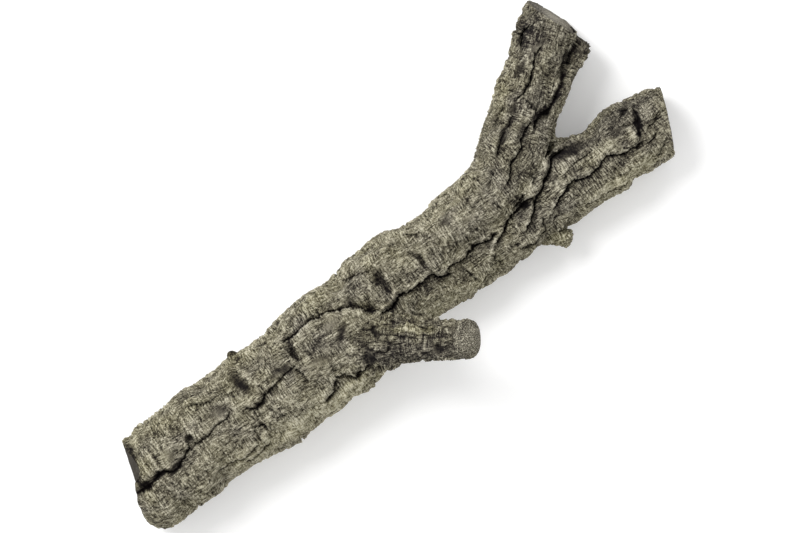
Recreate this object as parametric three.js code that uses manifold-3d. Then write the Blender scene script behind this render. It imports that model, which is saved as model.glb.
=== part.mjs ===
// A cork branch lying on a flat surface, in millimetres: a thick trunk that forks into an upright limb and
// a long limb, with a sawn-off side branch on top and the stub of a twig.
// +X runs along the trunk from its sawn butt to the fork, +Z is up, and the origin is on the resting
// surface, under the middle of the trunk.

import * as THREE from "three";
import { mergeVertices } from "three/addons/utils/BufferGeometryUtils.js";
import Module from "manifold-3d";

// Driving dimensions
const FORK_X = 138; // where the trunk ends and its two limbs begin
const GAP = 0.3; // between pieces that touch
const CROTCH_GAP = 1.8; // between the two limbs where they part
const BLEND = 7; // how softly the strands of the trunk run into each other
const FLAP_BLEND = 2.5; // the same for the strip of bark beside the upright limb
const COLLAR_BLEND = 16; // the same where the side branch stands on the trunk
const SQUARENESS = 2.3; // exponent of the limbs' sections: 2 is an ellipse
const SPAN_STEPS = 6; // steps between two stations of a limb
const RING_STEP = 10; // spacing of the rings of vertices along a limb
const DOME_INSET = 0.32; // how far a domed end draws in, as a share of the radius
const DOME_CROWN = 1.25; // height of its middle, as a share of the height of that ring
const WELD = 1e-3; // vertices closer than this are one
const SWELL = 1.7; // height of the bark's slow swells
const PLATE = 1.9; // height of its plates
const FADE_DEPTH = 10; // bark relief dies away this far inside the wood

// Stations of each limb: spine point x, y, z, then half width and half height
const TRUNK = [
  [-332, 10, 43, 28, 36],
  [-316, -1, 43, 42, 41],
  [-303, -7, 43, 46.5, 43],
  [-288, -7, 43, 47.5, 43.5],
  [-270, -4, 43.5, 49, 45],
  [-240, -4.5, 44, 48.5, 46],
  [-215, -1, 44.5, 48.5, 44.5],
  [-190, -2.5, 45, 49.5, 43],
  [-150, -5.5, 46, 52, 43],
  [-120, -3, 46, 50.5, 44.5],
  [-90, 0.5, 46, 53, 48],
  [-65, 1, 46, 54.5, 49],
  [-40, 2, 45, 48, 47],
  [-15, 6, 44, 47, 45.5],
  [15, 9, 42, 42, 43.5],
  [45, 10, 42, 36, 38],
];
const UPPER_STRAND = [
  [-60, 30, 48, 20, 30],
  [-20, 32, 47, 27, 38],
  [15, 32, 48, 31, 41],
  [50, 26, 48, 28, 40],
  [80, 28, 48, 29.5, 41],
  [110, 30.5, 48, 30.5, 41],
  [135, 35, 47, 30.5, 40],
  [162, 48.5, 45, 34, 38],
  [181, 63.5, 43, 33.5, 37],
  [195, 77, 41, 31.5, 36],
  [218, 96, 38, 28.5, 35],
  [242, 114, 35.5, 28, 34],
  [274, 138, 33, 27.5, 34],
  [310, 166, 33, 27.5, 34],
];
const FLAP = [
  [186, 38, 44, 9, 20],
  [205, 51, 46, 10, 22],
  [226, 64, 45, 8.5, 22],
  [248, 77, 43, 8, 21],
  [268, 89, 42, 8, 19],
  [300, 109, 41, 8, 17],
];
const LOWER_STRAND = [
  [-60, -6, 40, 30, 34],
  [-20, -5, 38, 34, 37],
  [15, -3, 37, 33, 37],
  [60, -5, 38, 33, 35],
  [100, -6, 38, 33, 34.5],
  [140, -3, 38, 32.5, 34],
  [175, 0, 37.5, 36.5, 34.5],
  [207, 1, 37, 37, 36],
  [236, -4, 36, 35, 35.5],
  [262, -0.5, 35, 37, 36],
  [285, -2, 35, 36.5, 36.5],
  [310, -5, 35, 33, 36],
  [340, -7, 35, 31, 36],
];
const SIDE_BRANCH = [
  [-78, 5, 46, 30, 27],
  [-57, -9, 64, 27, 25],
  [-37, -22, 81, 24, 23],
  [-10, -38, 105, 20.5, 21],
  [15, -54, 126, 18.5, 20],
  [50, -77, 155, 18, 19.5],
];
const TWIG = [
  [140, -14, 36, 14, 14],
  [151, -29, 37, 9.5, 9.5],
  [160, -39, 38, 8, 8],
  [175, -56, 39, 8.5, 8.5],
];

// Sections where each piece begins and ends: centre, then heading and rise of the section's normal in degrees
const TRUNK_SECTIONS = [
  [-305, -4, 43, -19.5, -4],
  [-240, -4, 44, -4, 0],
  [-160, -4, 44, 0, 0],
  [-60, 4, 45, 0, 0],
  [20, 12, 44, 0, 0],
  [80, 12, 44, 0, 0],
  [FORK_X, 17, 43, 0, 0],
];
const UPRIGHT_SECTIONS = [
  [FORK_X + GAP, 37, 46, 0, 0],
  [162, 48, 45, 20, 0],
  [190, 69, 42, 36, 1],
  [225, 98, 38, 38, 3],
  [276, 134, 34, 22, 11],
];
const LONG_SECTIONS = [
  [FORK_X + GAP, -5, 37, 0, 0],
  [180, -4, 37, 0, 0],
  [240, -3, 36, -4, 0],
  [308, -4, 35, -22.4, 0],
];
const SIDE_SECTIONS = [
  [-60, -7, 62, -33, 40],
  [-20, -33, 96, -33, 38],
  [32, -65, 140.5, -33, 36],
];
const TWIG_SECTIONS = [
  [150, -25, 36.5, -48, 4],
  [167, -47.5, 38.5, -48, 5],
];

// Marks of the upper side are given on the level of the axis. Up on the bark they lie closer to the middle.
const MARK_MIDDLE = [19.8, 25];
const MARK_SCALE = 0.986;

// Cracks of the upper side, from above: points x, y and width. The bark on the left of a path stands higher
// than on its right by lift, and the step fades out over its reach.
const CRACKS = [
  // the long crack from the butt, with a knot hole beside it
  { depth: 13, lift: 4, path: [[-322, -9, 6], [-304, -7, 7], [-290, -7.5, 8], [-277, -6, 5],
    [-266, -10.5, 7.5], [-257, -7, 5], [-245, -2, 4], [-240, 3, 6], [-237, 4.5, 7], [-235, 0, 4],
    [-216, -0.5, 3.5], [-200, 1.5, 3],
    [-194, 5, 3.5], [-190, 14, 3]] },
  { depth: 6, lift: 2.5, path: [[-225, 30, 2], [-215, 28, 3], [-208, 25.5, 3.5], [-199, 24.5, 3]] },
  // the plates between the butt and the shoulder
  { depth: 8, lift: 4.5, path: [[-176, -2, 4], [-168, -6, 6], [-157, -1, 5], [-144, 1, 4], [-130, 4.5, 4],
    [-118, 5, 4], [-114, -4, 4], [-114, -15, 2.5]] },
  { depth: 6, lift: -1, path: [[-105, 34, 3], [-109, 29, 4.5], [-108, 25, 4], [-114, 13, 4.5],
    [-112, 8, 3]] },
  { depth: 6, lift: 2, path: [[-183, -22, 3], [-174, -22, 4], [-170, -30, 4], [-167, -36, 3]] },
  { depth: 6, lift: 3, path: [[-233, -39, 2], [-220, -37, 4], [-205, -38, 4], [-190, -42, 4],
    [-180, -43, 5]] },
  // the raised plate at the foot of the side branch
  { depth: 8, lift: -5, path: [[-110, 30, 5], [-95, 30, 4], [-80, 31, 4], [-64, 30, 4], [-50, 24.5, 5],
    [-41, 21, 5], [-33, 13, 6], [-27, 4, 6], [-21, 1, 5]] },
  { depth: 8, lift: 5, path: [[-111, -38, 4], [-98, -34.5, 5], [-91, -27.5, 4], [-82, -29, 4], [-75, -37, 6],
    [-71, -33, 7], [-59, -33, 4]] },
  // the folds that cross the upper strand
  { depth: 6, lift: -3, path: [[-31, 46.5, 5], [-22, 44, 6], [-15, 39.5, 5], [-8, 38, 4]] },
  { depth: 6, lift: 0, path: [[-4, 36, 3], [-2.5, 30, 4], [-3, 22, 4.5], [-4.5, 11, 5], [-6, 7, 4]] },
  { depth: 6, lift: 1.5, path: [[35, 32, 4], [37, 26, 5], [40, 19, 5], [42, 13, 4], [43, 4, 4]] },
  // the long ledge between the two strands, up to the crotch
  { depth: 12, lift: 7, path: [[-18, -1.5, 4], [-8, -1.5, 7], [3, 3, 6], [10, 1, 4], [30, 1, 4], [40, 2.5, 5],
    [44, -3, 5], [53, -6, 7]] },
  { depth: 10, lift: 5, path: [[55, -2, 4], [72, -3.5, 4], [86, -1.5, 4], [96, 0, 4], [105, -2.5, 4],
    [112, -1, 4]] },
  { depth: 11, lift: 6, path: [[109, -8, 3], [119, -4.5, 4], [127, 2, 5], [140, 5.5, 6], [148, 8, 9],
    [155, 8.5, 7], [161, 7, 4]] },
  { depth: 12, lift: 6, path: [[143, -11.5, 3], [155, -3.5, 4], [163, 5, 4], [171, 8, 4.5], [183, 16, 5],
    [194, 23, 6], [198, 28, 7], [206, 29.5, 5]] },
  // upright limb
  { depth: 8, lift: 4, path: [[148, 32, 4], [158, 40, 4.5], [163, 47, 5], [176, 50, 4], [183, 59, 5.5],
    [192, 64, 6], [200, 67, 4]] },
  { depth: 6, lift: 2, path: [[157, 61, 4], [164, 65, 5], [175, 73, 6], [186, 80, 4]] },
  { depth: 12, lift: 5, path: [[201, 61, 4], [209, 67, 5.5], [226, 69, 6], [240, 75, 6], [251, 86, 7.5],
    [258, 93, 7.5], [273, 101, 6], [281, 106.5, 4]] },
  { depth: 8, lift: 3, path: [[204, 92, 3], [216, 96.5, 4.5], [228, 104, 4], [236, 113, 3.5],
    [247, 119, 2.5]] },
  { depth: 7, lift: 4, path: [[233, 134, 3], [240, 140.5, 4], [250, 141.5, 3]] },
  // long limb
  { depth: 8, lift: 5, path: [[172, -13, 3], [181, -8.5, 4], [196, -3, 4.5], [212, -6, 5], [231, -4.5, 4],
    [240, -0.5, 4], [250, -6, 5], [264, -8.5, 5], [274, -9, 7]] },
  { depth: 6, lift: 2, path: [[272, -9, 4], [281, 1, 5.5], [286, 12, 6], [287, 21, 4]] },
  { depth: 6, lift: 2, path: [[281, -13, 4], [286, -14, 5], [292, -11.5, 4]] },
  { depth: 6, lift: 2, path: [[274, 23, 4], [278, 25, 6], [284, 25.5, 4]] },
];

// Soft humps and hollows of the upper side: middle x and y, half length, half width, heading, height
const HUMPS = [
  [-297, -6, 7, 7, 0, -6],
  [-196, 12, 7, 9, 0, -2.5],
  [-169.5, 23, 8, 21, 8, -6],
  [-168, -6, 11, 6, 10, -4],
  [-160, 20, 6, 16, 8, 2],
  [-141, 25, 18, 11, 0, 1.5],
  [-137, -14, 20, 16, 0, 2],
  [-105, 8, 6, 24, 5, 2],
  [-78, 12, 26, 17, -12, 3],
  [-66, -10, 22, 8, -20, 1.5],
  [-97, -28, 9, 7, 20, 2],
  [-104, -39, 9, 5, 0, -3.5],
  [-71, -36, 7, 7, 0, -4],
  [-37, 23, 8, 6, -50, -3],
  [-26, 36, 10, 9, -35, -3],
  [-26, 8, 6, 6, 0, -5],
  [-15, 24, 6, 16, 0, 2.5],
  [-3, 22, 6, 17, 0, -5],
  [20, 16, 20, 19, 0, 2],
  [40, 17, 5, 17, 0, -3],
  [24, 52, 20, 7, -12, 1.5],
  [30, -12, 24, 9, 0, -1.5],
  [80, -9, 28, 7, 0, -2],
  [147, 12, 8, 6, 20, -4.5],
  [172, 58, 20, 7, 40, 2.5],
  [165, 66, 16, 5, 40, -2.5],
  [180, 84, 20, 7, 38, 2],
  [196, 84, 10, 7, 35, -2],
  [218, 92, 18, 6, 38, 2],
  [240, 103, 24, 7, 40, 1.8],
  [247, 142, 9, 6, 20, -5],
  [213, 21, 11, 8, 15, -3],
  [272, 2, 6, 10, -20, 4],
  [283, 4, 6, 13, -20, -5],
  [250, 24, 18, 8, 0, 1.5],
  [296, 10, 8, 10, 0, 2],
];
const SIDE_HUMPS = [
  [-36, -12, 6, 8, -20, -2.5],
  [-48, -12, 7, 6, -40, 2.5],
  [-40, -24, 8, 5, -55, 2.5],
  [-50, -31, 6, 8, -35, -2],
  [-27, -31, 6, 7, 0, 2],
  [-12, -38, 10, 6, -35, 2],
  [9, -62, 8, 6, -40, -2.5],
  [13, -50, 8, 5, -35, -2],
];
const FACES_UP = [0.05, 0.45]; // the upward part of a normal at which ledges and humps start, and are whole
const PARALLEL = 1e-9; // two directions whose turn is less than this don't meet
const HUMP_CORE = 0.15; // a hump starts to fall here and has faded out there, as shares of its half sizes
const HUMP_RIM = 1.2;

// Outlines from above, from the butt towards the limbs' ends: points x, y
const EDGES = {
  trunk: {
    left: [[-293, 38], [-281, 41], [-272, 45], [-240, 45], [-216, 48.5], [-205, 45.5], [-170, 48], [-140, 46],
      [-122, 46.5], [-103, 52], [-70, 56], [-45, 53.5], [-28, 56], [-20, 60], [12, 62.5], [25, 62], [38, 56],
      [65, 54.5], [80, 59], [110, 61], [130, 65], [141, 70]],
    right: [[-324, -22], [-317, -34], [-314.5, -43], [-309.5, -49.5], [-300, -54], [-270, -53], [-242, -54],
      [-230, -49.5], [-200, -50], [-160, -57], [-120, -53.5], [-105, -55], [-82, -51.5], [-75, -55.5],
      [-50, -49], [-20, -43], [0, -39], [21, -35], [60, -40], [65, -36], [98, -39.5], [115, -36], [124, -38],
      [142, -35]],
  },
  upright: {
    left: [[136, 67.5], [143, 75], [150, 80], [172, 97], [185, 107], [195, 117], [206, 121], [224, 134],
      [240, 150], [264, 162]],
    right: [[211, 43], [225, 55], [245, 67], [262, 79], [275, 83], [286, 89]],
  },
  long: {
    left: [[213, 37], [230, 31], [235, 29.5], [248, 33], [270, 36.5], [284, 33], [310, 29], [321, 24]],
    right: [[136, -34.5], [174, -35.5], [180, -37.5], [215, -36], [241, -40], [250, -34], [265, -38],
      [296, -38.5]],
  },
};
const EDGE_REACH = [-12, 6]; // the least and the most that an edge is moved to its outline
const EDGE_START = 0.3; // where the move starts, as a share of the half width

const LEDGE = 0.75; // share of a step that is on each side of its crack
const CRACK_REACH = 22; // how far from a crack its step has faded out
const BLADE_RISE = 14; // how far a crack's cutter stands above the bark
const BLADE_FLARE = 1.6; // its width up there, as a share of the crack's
const BLADE_FOOT = 0.3; // a crack's width at its bottom, as a share of its width at the top

// Cracks around each piece: points as the share of the way along it, the angle around it in degrees (0 is the
// +Y side, 90 the top, 180 the -Y side) and the width
const FLANK_CRACKS = {
  trunk: [
    { depth: 9, path: [[0, 205, 6], [0.06, 201, 9], [0.13, 208, 8], [0.24, 204, 4]] },
    { depth: 8, path: [[0.24, 230, 5], [0.35, 225, 8], [0.47, 231, 7], [0.6, 227, 4]] },
    { depth: 8, path: [[0.62, 204, 4], [0.74, 210, 8], [0.87, 205, 8], [1, 208, 5]] },
    { depth: 9, path: [[0, 338, 7], [0.08, 344, 8], [0.16, 337, 8], [0.26, 341, 5]] },
    { depth: 8, path: [[0.26, 316, 5], [0.38, 322, 8], [0.5, 316, 5]] },
    { depth: 9, path: [[0.42, 342, 5], [0.56, 348, 8], [0.7, 341, 8], [0.86, 346, 8], [1, 341, 5]] },
    { depth: 7, path: [[0.3, 5, 4], [0.31, 352, 7], [0.33, 340, 4]] },
    { depth: 7, path: [[0.66, 24, 4], [0.67, 8, 6], [0.66, -6, 4]] },
  ],
  upright: [
    { depth: 8, path: [[0, 350, 5], [0.25, 356, 6], [0.5, 348, 6], [0.75, 354, 5], [1, 349, 5]] },
    { depth: 7, path: [[0.1, 20, 4], [0.35, 26, 6], [0.6, 18, 6], [0.85, 24, 4]] },
  ],
  long: [
    { depth: 8, path: [[0, 205, 5], [0.2, 211, 6], [0.45, 204, 7], [0.7, 210, 6], [1, 205, 5]] },
    { depth: 7, path: [[0.5, 12, 4], [0.65, 4, 6], [0.82, 10, 6], [1, 5, 5]] },
  ],
  side: [
    { depth: 6, path: [[0.18, 20, 5], [0.34, 2, 6], [0.5, -8, 7], [0.68, -2, 5]] },
    { depth: 6, path: [[0.28, 95, 4], [0.45, 82, 6], [0.6, 88, 5], [0.76, 78, 4]] },
    { depth: 6, path: [[0.4, 50, 4], [0.58, 38, 7], [0.78, 44, 6]] },
    { depth: 6, path: [[0.24, 150, 4], [0.48, 160, 6], [0.74, 150, 4]] },
    { depth: 6, path: [[0.3, 250, 4], [0.52, 262, 6], [0.8, 255, 4]] },
  ],
};

// The slot between the limbs in the crotch, from above: points x, y
const CROTCH = { width: 3, low: 8, high: 100, path: [[200, 31], [207, 37], [213, 39.5], [220, 43]] };

// Low lumps that stand on the bark: centre, radius
const KNOB = { at: [-157.5, 46, 56], radius: 7 };

const UP = new THREE.Vector3(0, 0, 1);

// Rows of numbers refined by a Catmull-Rom curve.
function refine(rows) {
  const fine = [];
  for (let i = 0; i < rows.length - 1; i++) {
    const [a, b] = [rows[Math.max(i - 1, 0)], rows[i]];
    const [c, d] = [rows[i + 1], rows[Math.min(i + 2, rows.length - 1)]];
    for (let k = 0; k < SPAN_STEPS; k++) {
      const t = k / SPAN_STEPS;
      fine.push(b.map((_, j) => {
        const bend = 2 * a[j] - 5 * b[j] + 4 * c[j] - d[j];
        const twist = 3 * (b[j] - c[j]) + d[j] - a[j];
        return b[j] + (0.5 * t) * (c[j] - a[j] + t * (bend + t * twist));
      }));
    }
  }
  fine.push(rows.at(-1));
  return fine;
}

// The signed distance, roughly, from a limb's surface: below 0 inside.
function limbField(stations) {
  const rows = refine(stations);
  return (p) => {
    let best = { distance: Infinity };
    for (let i = 0; i < rows.length - 1; i++) {
      const [a, b] = [rows[i], rows[i + 1]];
      const [dx, dy, dz] = [b[0] - a[0], b[1] - a[1], b[2] - a[2]];
      const length2 = dx * dx + dy * dy + dz * dz;
      const along = (p.x - a[0]) * dx + (p.y - a[1]) * dy + (p.z - a[2]) * dz;
      const t = Math.min(1, Math.max(0, along / length2));
      const [rx, ry, rz] = [p.x - a[0] - t * dx, p.y - a[1] - t * dy, p.z - a[2] - t * dz];
      const distance = rx * rx + ry * ry + rz * rz;
      if (distance < best.distance) best = { distance, a, b, t, rx, ry, rz, dx, dy, dz, length2 };
    }
    const { a, b, t, rx, ry, rz, dx, dy, dz } = best;
    const length = Math.sqrt(best.length2);
    const wide = a[3] + t * (b[3] - a[3]);
    const tall = a[4] + t * (b[4] - a[4]);
    const flat = Math.hypot(dx, dy);
    const side = (ry * dx - rx * dy) / flat;
    const ahead = (rx * dx + ry * dy + rz * dz) / length;
    const up = (rz * flat - (dz / flat) * (rx * dx + ry * dy)) / length;
    const size = (v, r) => Math.abs(v / r) ** SQUARENESS;
    const norm = (size(side, wide) + size(up, tall) + size(ahead, tall)) ** (1 / SQUARENESS);
    return (norm - 1) * Math.min(wide, tall);
  };
}

function softMin(a, b, k) {
  const h = Math.max(k - Math.abs(a - b), 0) / k;
  return Math.min(a, b) - (h * h * k) / 4;
}

const trunkField = limbField(TRUNK);
const upperMain = limbField(UPPER_STRAND);
const flapField = limbField(FLAP);
const upperField = (p) => softMin(upperMain(p), flapField(p), FLAP_BLEND);
const lowerField = limbField(LOWER_STRAND);
const sideField = limbField(SIDE_BRANCH);
const twigField = limbField(TWIG);
const wholeField = (p) => softMin(softMin(trunkField(p), upperField(p), BLEND), lowerField(p), BLEND);
const uprightField = (p) => Math.max(wholeField(p), (upperField(p) - lowerField(p) + CROTCH_GAP) / 2);
const longField = (p) => Math.max(wholeField(p), (lowerField(p) - upperField(p) + CROTCH_GAP) / 2);

function gradient(field, p) {
  const e = 0.5;
  const slope = (x, y, z) =>
    field(new THREE.Vector3(p.x + x, p.y + y, p.z + z)) - field(new THREE.Vector3(p.x - x, p.y - y, p.z - z));
  return new THREE.Vector3(slope(e, 0, 0), slope(0, e, 0), slope(0, 0, e)).normalize();
}

// The first point of the surface on a ray that starts inside.
function cast(field, start, direction, step = 3, furthest = 150) {
  let near = 0;
  let far = step;
  const at = (r) => start.clone().addScaledVector(direction, r);
  while (far < furthest && field(at(far)) < 0) {
    near = far;
    far += step;
  }
  for (let i = 0; i < 12; i++) {
    const middle = (near + far) / 2;
    if (field(at(middle)) < 0) near = middle;
    else far = middle;
  }
  return at((near + far) / 2);
}

// A mark's row, brought from the level of the axis up on the bark.
function placed([x, y, ...rest]) {
  const [middleX, middleY] = MARK_MIDDLE;
  return [middleX + MARK_SCALE * (x - middleX), middleY + MARK_SCALE * (y - middleY), ...rest];
}

const topCrackRows = CRACKS.map(({ path, ...sizes }) => ({ ...sizes, path: path.map(placed) }));
const topHumps = HUMPS.map(placed);
const sideHumps = SIDE_HUMPS.map(placed);

// The nearest place on a crack's path, seen from above: distance, side (1 on the left) and how far past the
// path's end it is.
function nearestOnPath(path, x, y) {
  let best = { distance: Infinity };
  for (let i = 0; i < path.length - 1; i++) {
    const [a, b] = [path[i], path[i + 1]];
    const [dx, dy] = [b[0] - a[0], b[1] - a[1]];
    const length2 = dx * dx + dy * dy;
    const t = Math.min(1, Math.max(0, ((x - a[0]) * dx + (y - a[1]) * dy) / length2));
    const [rx, ry] = [x - a[0] - t * dx, y - a[1] - t * dy];
    const distance = Math.hypot(rx, ry);
    if (distance < best.distance) {
      const left = Math.sign(dx * ry - dy * rx) || 1;
      const overrun = Math.abs(rx * dx + ry * dy) / Math.sqrt(length2);
      best = { distance, left, overrun };
    }
  }
  return best;
}

// Steps of the bark at the cracks of the upper side.
function ledges(p) {
  let height = 0;
  for (const { path, lift } of topCrackRows) {
    const { distance, left, overrun } = nearestOnPath(path, p.x, p.y);
    if (distance > CRACK_REACH) continue;
    const fade = (1 - distance / CRACK_REACH) ** 2 * Math.max(0, 1 - overrun / 8);
    height += LEDGE * lift * left * fade;
  }
  return height;
}

// Slow swells of the bark and the plates it has split into, the same on every side.
function swells({ x, y, z }) {
  const slow = Math.sin(x / 13 + 2.1 * Math.sin(y / 21 + z / 34)) * Math.cos(y / 15 - z / 17 + x / 60);
  const along = Math.sin(x / 9.5 + 1.9 * Math.sin(y / 17 + z / 14));
  const around = Math.sin(y / 9 - z / 8.5 + 1.6 * Math.sin(x / 26));
  return SWELL * slow + PLATE * Math.tanh(3 * along * around);
}

// Humps and hollows of the upper side.
function mounds(p, humps) {
  let height = 0;
  for (const [x, y, long, wide, degrees, rise] of humps) {
    const angle = THREE.MathUtils.degToRad(degrees);
    const [dx, dy] = [p.x - x, p.y - y];
    const along = (dx * Math.cos(angle) + dy * Math.sin(angle)) / long;
    const across = (dy * Math.cos(angle) - dx * Math.sin(angle)) / wide;
    height += rise * (1 - THREE.MathUtils.smoothstep(Math.hypot(along, across), HUMP_CORE, HUMP_RIM));
  }
  return height;
}

// How far two forms that grow together fill the corner between them.
function collar(distance) {
  const h = Math.max(COLLAR_BLEND - Math.abs(distance), 0) / COLLAR_BLEND;
  return (h * h * COLLAR_BLEND) / 4;
}

// A point of the smooth form moved out to the bark.
function barkPoint(point, normal, { skin, humps, joined }) {
  const covered = Math.min(1, -Math.min(0, skin(point)) / FADE_DEPTH);
  const facesUp = THREE.MathUtils.smoothstep(normal.z, ...FACES_UP);
  const out = swells(point) + (joined ? collar(joined(point)) : 0);
  const up = facesUp * (ledges(point) + mounds(point, humps));
  return point.clone().addScaledVector(normal, out * (1 - covered)).addScaledVector(UP, up * (1 - covered));
}

// How far an outline is from a place, along a level direction: undefined where it isn't met.
function outlineReach(place, way, edge) {
  let nearest;
  for (let i = 0; i < edge.length - 1; i++) {
    const [a, b] = [edge[i], edge[i + 1]];
    const [stepX, stepY] = [b[0] - a[0], b[1] - a[1]];
    const [awayX, awayY] = [a[0] - place.x, a[1] - place.y];
    const turn = way.y * stepX - way.x * stepY;
    if (Math.abs(turn) < PARALLEL) continue;
    const reach = (awayY * stepX - awayX * stepY) / turn;
    const share = (way.x * awayY - way.y * awayX) / turn;
    if (share >= 0 && share <= 1 && reach > 0 && !(reach > nearest)) nearest = reach;
  }
  return nearest;
}

// Moves one side of a ring level, so that its widest place lies on the outline, or outside it by grow.
function fitEdge(ring, centre, way, edge, grow) {
  const reaches = ring.map((v) => (v.x - centre.x) * way.x + (v.y - centre.y) * way.y);
  const widest = Math.max(...reaches);
  const target = outlineReach(centre, way, edge);
  if (target === undefined) return;
  const shift = THREE.MathUtils.clamp(target + grow - widest, ...EDGE_REACH);
  ring.forEach((v, i) => {
    const share = THREE.MathUtils.smoothstep(reaches[i] / widest, EDGE_START, 1);
    v.x += shift * share * way.x;
    v.y += shift * share * way.y;
  });
}

// The way through a row of sections: the frame at any share of it.
function wayThrough(sections) {
  const rows = refine(sections);
  const step = (row, i) => Math.hypot(row[0] - rows[i][0], row[1] - rows[i][1], row[2] - rows[i][2]);
  const length = rows.slice(1).map(step).reduce((sum, part) => sum + part, 0);
  const frameAt = (share) => {
    const place = share * (rows.length - 1);
    const i = Math.min(Math.floor(place), rows.length - 2);
    const row = rows[i].map((v, n) => v + (place - i) * (rows[i + 1][n] - v));
    const [heading, rise] = [row[3], row[4]].map(THREE.MathUtils.degToRad);
    const centre = new THREE.Vector3(row[0], row[1], row[2]);
    const normal = new THREE.Vector3(
      Math.cos(rise) * Math.cos(heading), Math.cos(rise) * Math.sin(heading), Math.sin(rise));
    const across = new THREE.Vector3().crossVectors(UP, normal).normalize();
    const above = new THREE.Vector3().crossVectors(normal, across);
    const ray = (angle) => new THREE.Vector3()
      .addScaledVector(across, Math.cos(angle))
      .addScaledVector(above, Math.sin(angle));
    return { centre, normal, ray };
  };
  return { length, frameAt };
}

// A closed tube: rings cast on a field from each section of a piece, with flat ends.
function tube({ sections, field, edges, spokesAbove, spokesBelow, dome = 0, grow = 0, ...bark }) {
  const grown = (p) => field(p) - grow;
  const { length, frameAt } = wayThrough(sections);
  const rings = Math.max(3, Math.round(length / RING_STEP));
  const angles = [];
  for (let i = 0; i < spokesAbove; i++) angles.push((Math.PI * i) / spokesAbove);
  for (let i = 0; i < spokesBelow; i++) angles.push(Math.PI * (1 + i / spokesBelow));
  const loops = [];
  for (let i = 0; i <= rings; i++) {
    const { centre, normal, ray } = frameAt(i / rings);
    const isEnd = i === 0 || i === rings;
    const ring = angles.map((angle) => {
      const point = cast(grown, centre, ray(angle));
      return barkPoint(point, gradient(bark.skin, point), bark);
    });
    if (edges) {
      const left = ray(0);
      fitEdge(ring, centre, left, edges.left, grow);
      fitEdge(ring, centre, left.negate(), edges.right, grow);
    }
    // the first and the last ring stay in their own plane
    if (isEnd) for (const v of ring) v.addScaledVector(normal, -v.clone().sub(centre).dot(normal));
    loops.push(ring);
  }
  const [start, end] = [frameAt(0), frameAt(1)];
  if (dome) {
    // a smaller ring beyond the last one rounds the end
    const inset = (v) => v.clone().lerp(end.centre, DOME_INSET).addScaledVector(end.normal, dome);
    loops.push(loops.at(-1).map(inset));
  }
  const crown = end.centre.clone().addScaledVector(end.normal, dome * DOME_CROWN);
  const vertices = [...loops.flat(), start.centre, crown].flatMap((v) => v.toArray());
  const spokes = angles.length;
  const [first, last] = [loops.length * spokes, loops.length * spokes + 1];
  const faces = [];
  for (let i = 0; i < loops.length - 1; i++) {
    for (let j = 0; j < spokes; j++) {
      const k = (j + 1) % spokes;
      const [a, b, c, d] = [i * spokes + j, i * spokes + k, (i + 1) * spokes + j, (i + 1) * spokes + k];
      if ((i + j) % 2) faces.push(a, b, c, b, d, c);
      else faces.push(a, b, d, a, d, c);
    }
  }
  for (let j = 0; j < spokes; j++) {
    const k = (j + 1) % spokes;
    faces.push(first, k, j, last, (loops.length - 1) * spokes + j, (loops.length - 1) * spokes + k);
  }
  const geometry = new THREE.BufferGeometry();
  geometry.setAttribute("position", new THREE.Float32BufferAttribute(vertices, 3));
  geometry.setIndex(faces);
  return geometry;
}

const wasm = await Module();
wasm.setup();

function solid(geometry) {
  const bare = geometry.clone();
  for (const name of ["normal", "uv"]) bare.deleteAttribute(name);
  const merged = mergeVertices(bare, WELD);
  const made = new wasm.Manifold(new wasm.Mesh({
    numProp: 3,
    vertProperties: merged.attributes.position.array,
    triVerts: new Uint32Array(merged.index.array),
  }));
  return made;
}

// The triangles of the largest connected body: a cut can leave loose crumbs beside it.
function largestBody(triangles, vertexCount) {
  const leader = Array.from({ length: vertexCount }, (_, i) => i);
  const find = (i) => {
    while (leader[i] !== i) i = leader[i] = leader[leader[i]];
    return i;
  };
  for (let t = 0; t < triangles.length; t += 3) {
    leader[find(triangles[t])] = find(triangles[t + 1]);
    leader[find(triangles[t + 1])] = find(triangles[t + 2]);
  }
  const bodies = new Map();
  for (let t = 0; t < triangles.length; t += 3) {
    const body = find(triangles[t]);
    if (!bodies.has(body)) bodies.set(body, []);
    bodies.get(body).push(triangles[t], triangles[t + 1], triangles[t + 2]);
  }
  return [...bodies.values()].reduce((a, b) => (b.length > a.length ? b : a));
}

function geometryOf(manifold) {
  const geometry = new THREE.BufferGeometry();
  const cut = manifold.getMesh();
  geometry.setAttribute("position", new THREE.BufferAttribute(cut.vertProperties, 3));
  geometry.setIndex(new THREE.BufferAttribute(cut.triVerts, 1));
  // welding parts the crumbs that hang on by less than a hair
  const mesh = solid(geometry).getMesh();
  const body = new THREE.BufferGeometry();
  body.setAttribute("position", new THREE.BufferAttribute(mesh.vertProperties, 3));
  body.setIndex(largestBody(mesh.triVerts, mesh.vertProperties.length / 3));
  return mergeVertices(body, WELD);
}

// A box that takes away what would lie below the resting surface.
function belowFloor() {
  const box = new THREE.BoxGeometry(900, 600, 100);
  box.translate(0, 0, -50);
  return solid(box);
}

// A strip with four corners at each stop, closed at both ends.
function strip(stops) {
  const vertices = stops.flat(2);
  const faces = [];
  for (let i = 0; i < stops.length - 1; i++) {
    for (let j = 0; j < 4; j++) {
      const k = (j + 1) % 4;
      const [a, b, c, d] = [4 * i + j, 4 * i + k, 4 * i + 4 + j, 4 * i + 4 + k];
      faces.push(a, d, b, a, c, d);
    }
  }
  const end = 4 * (stops.length - 1);
  faces.push(0, 1, 2, 0, 2, 3, end, end + 2, end + 1, end, end + 3, end + 2);
  const geometry = new THREE.BufferGeometry();
  geometry.setAttribute("position", new THREE.Float32BufferAttribute(vertices, 3));
  geometry.setIndex(faces);
  return solid(geometry);
}

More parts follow.
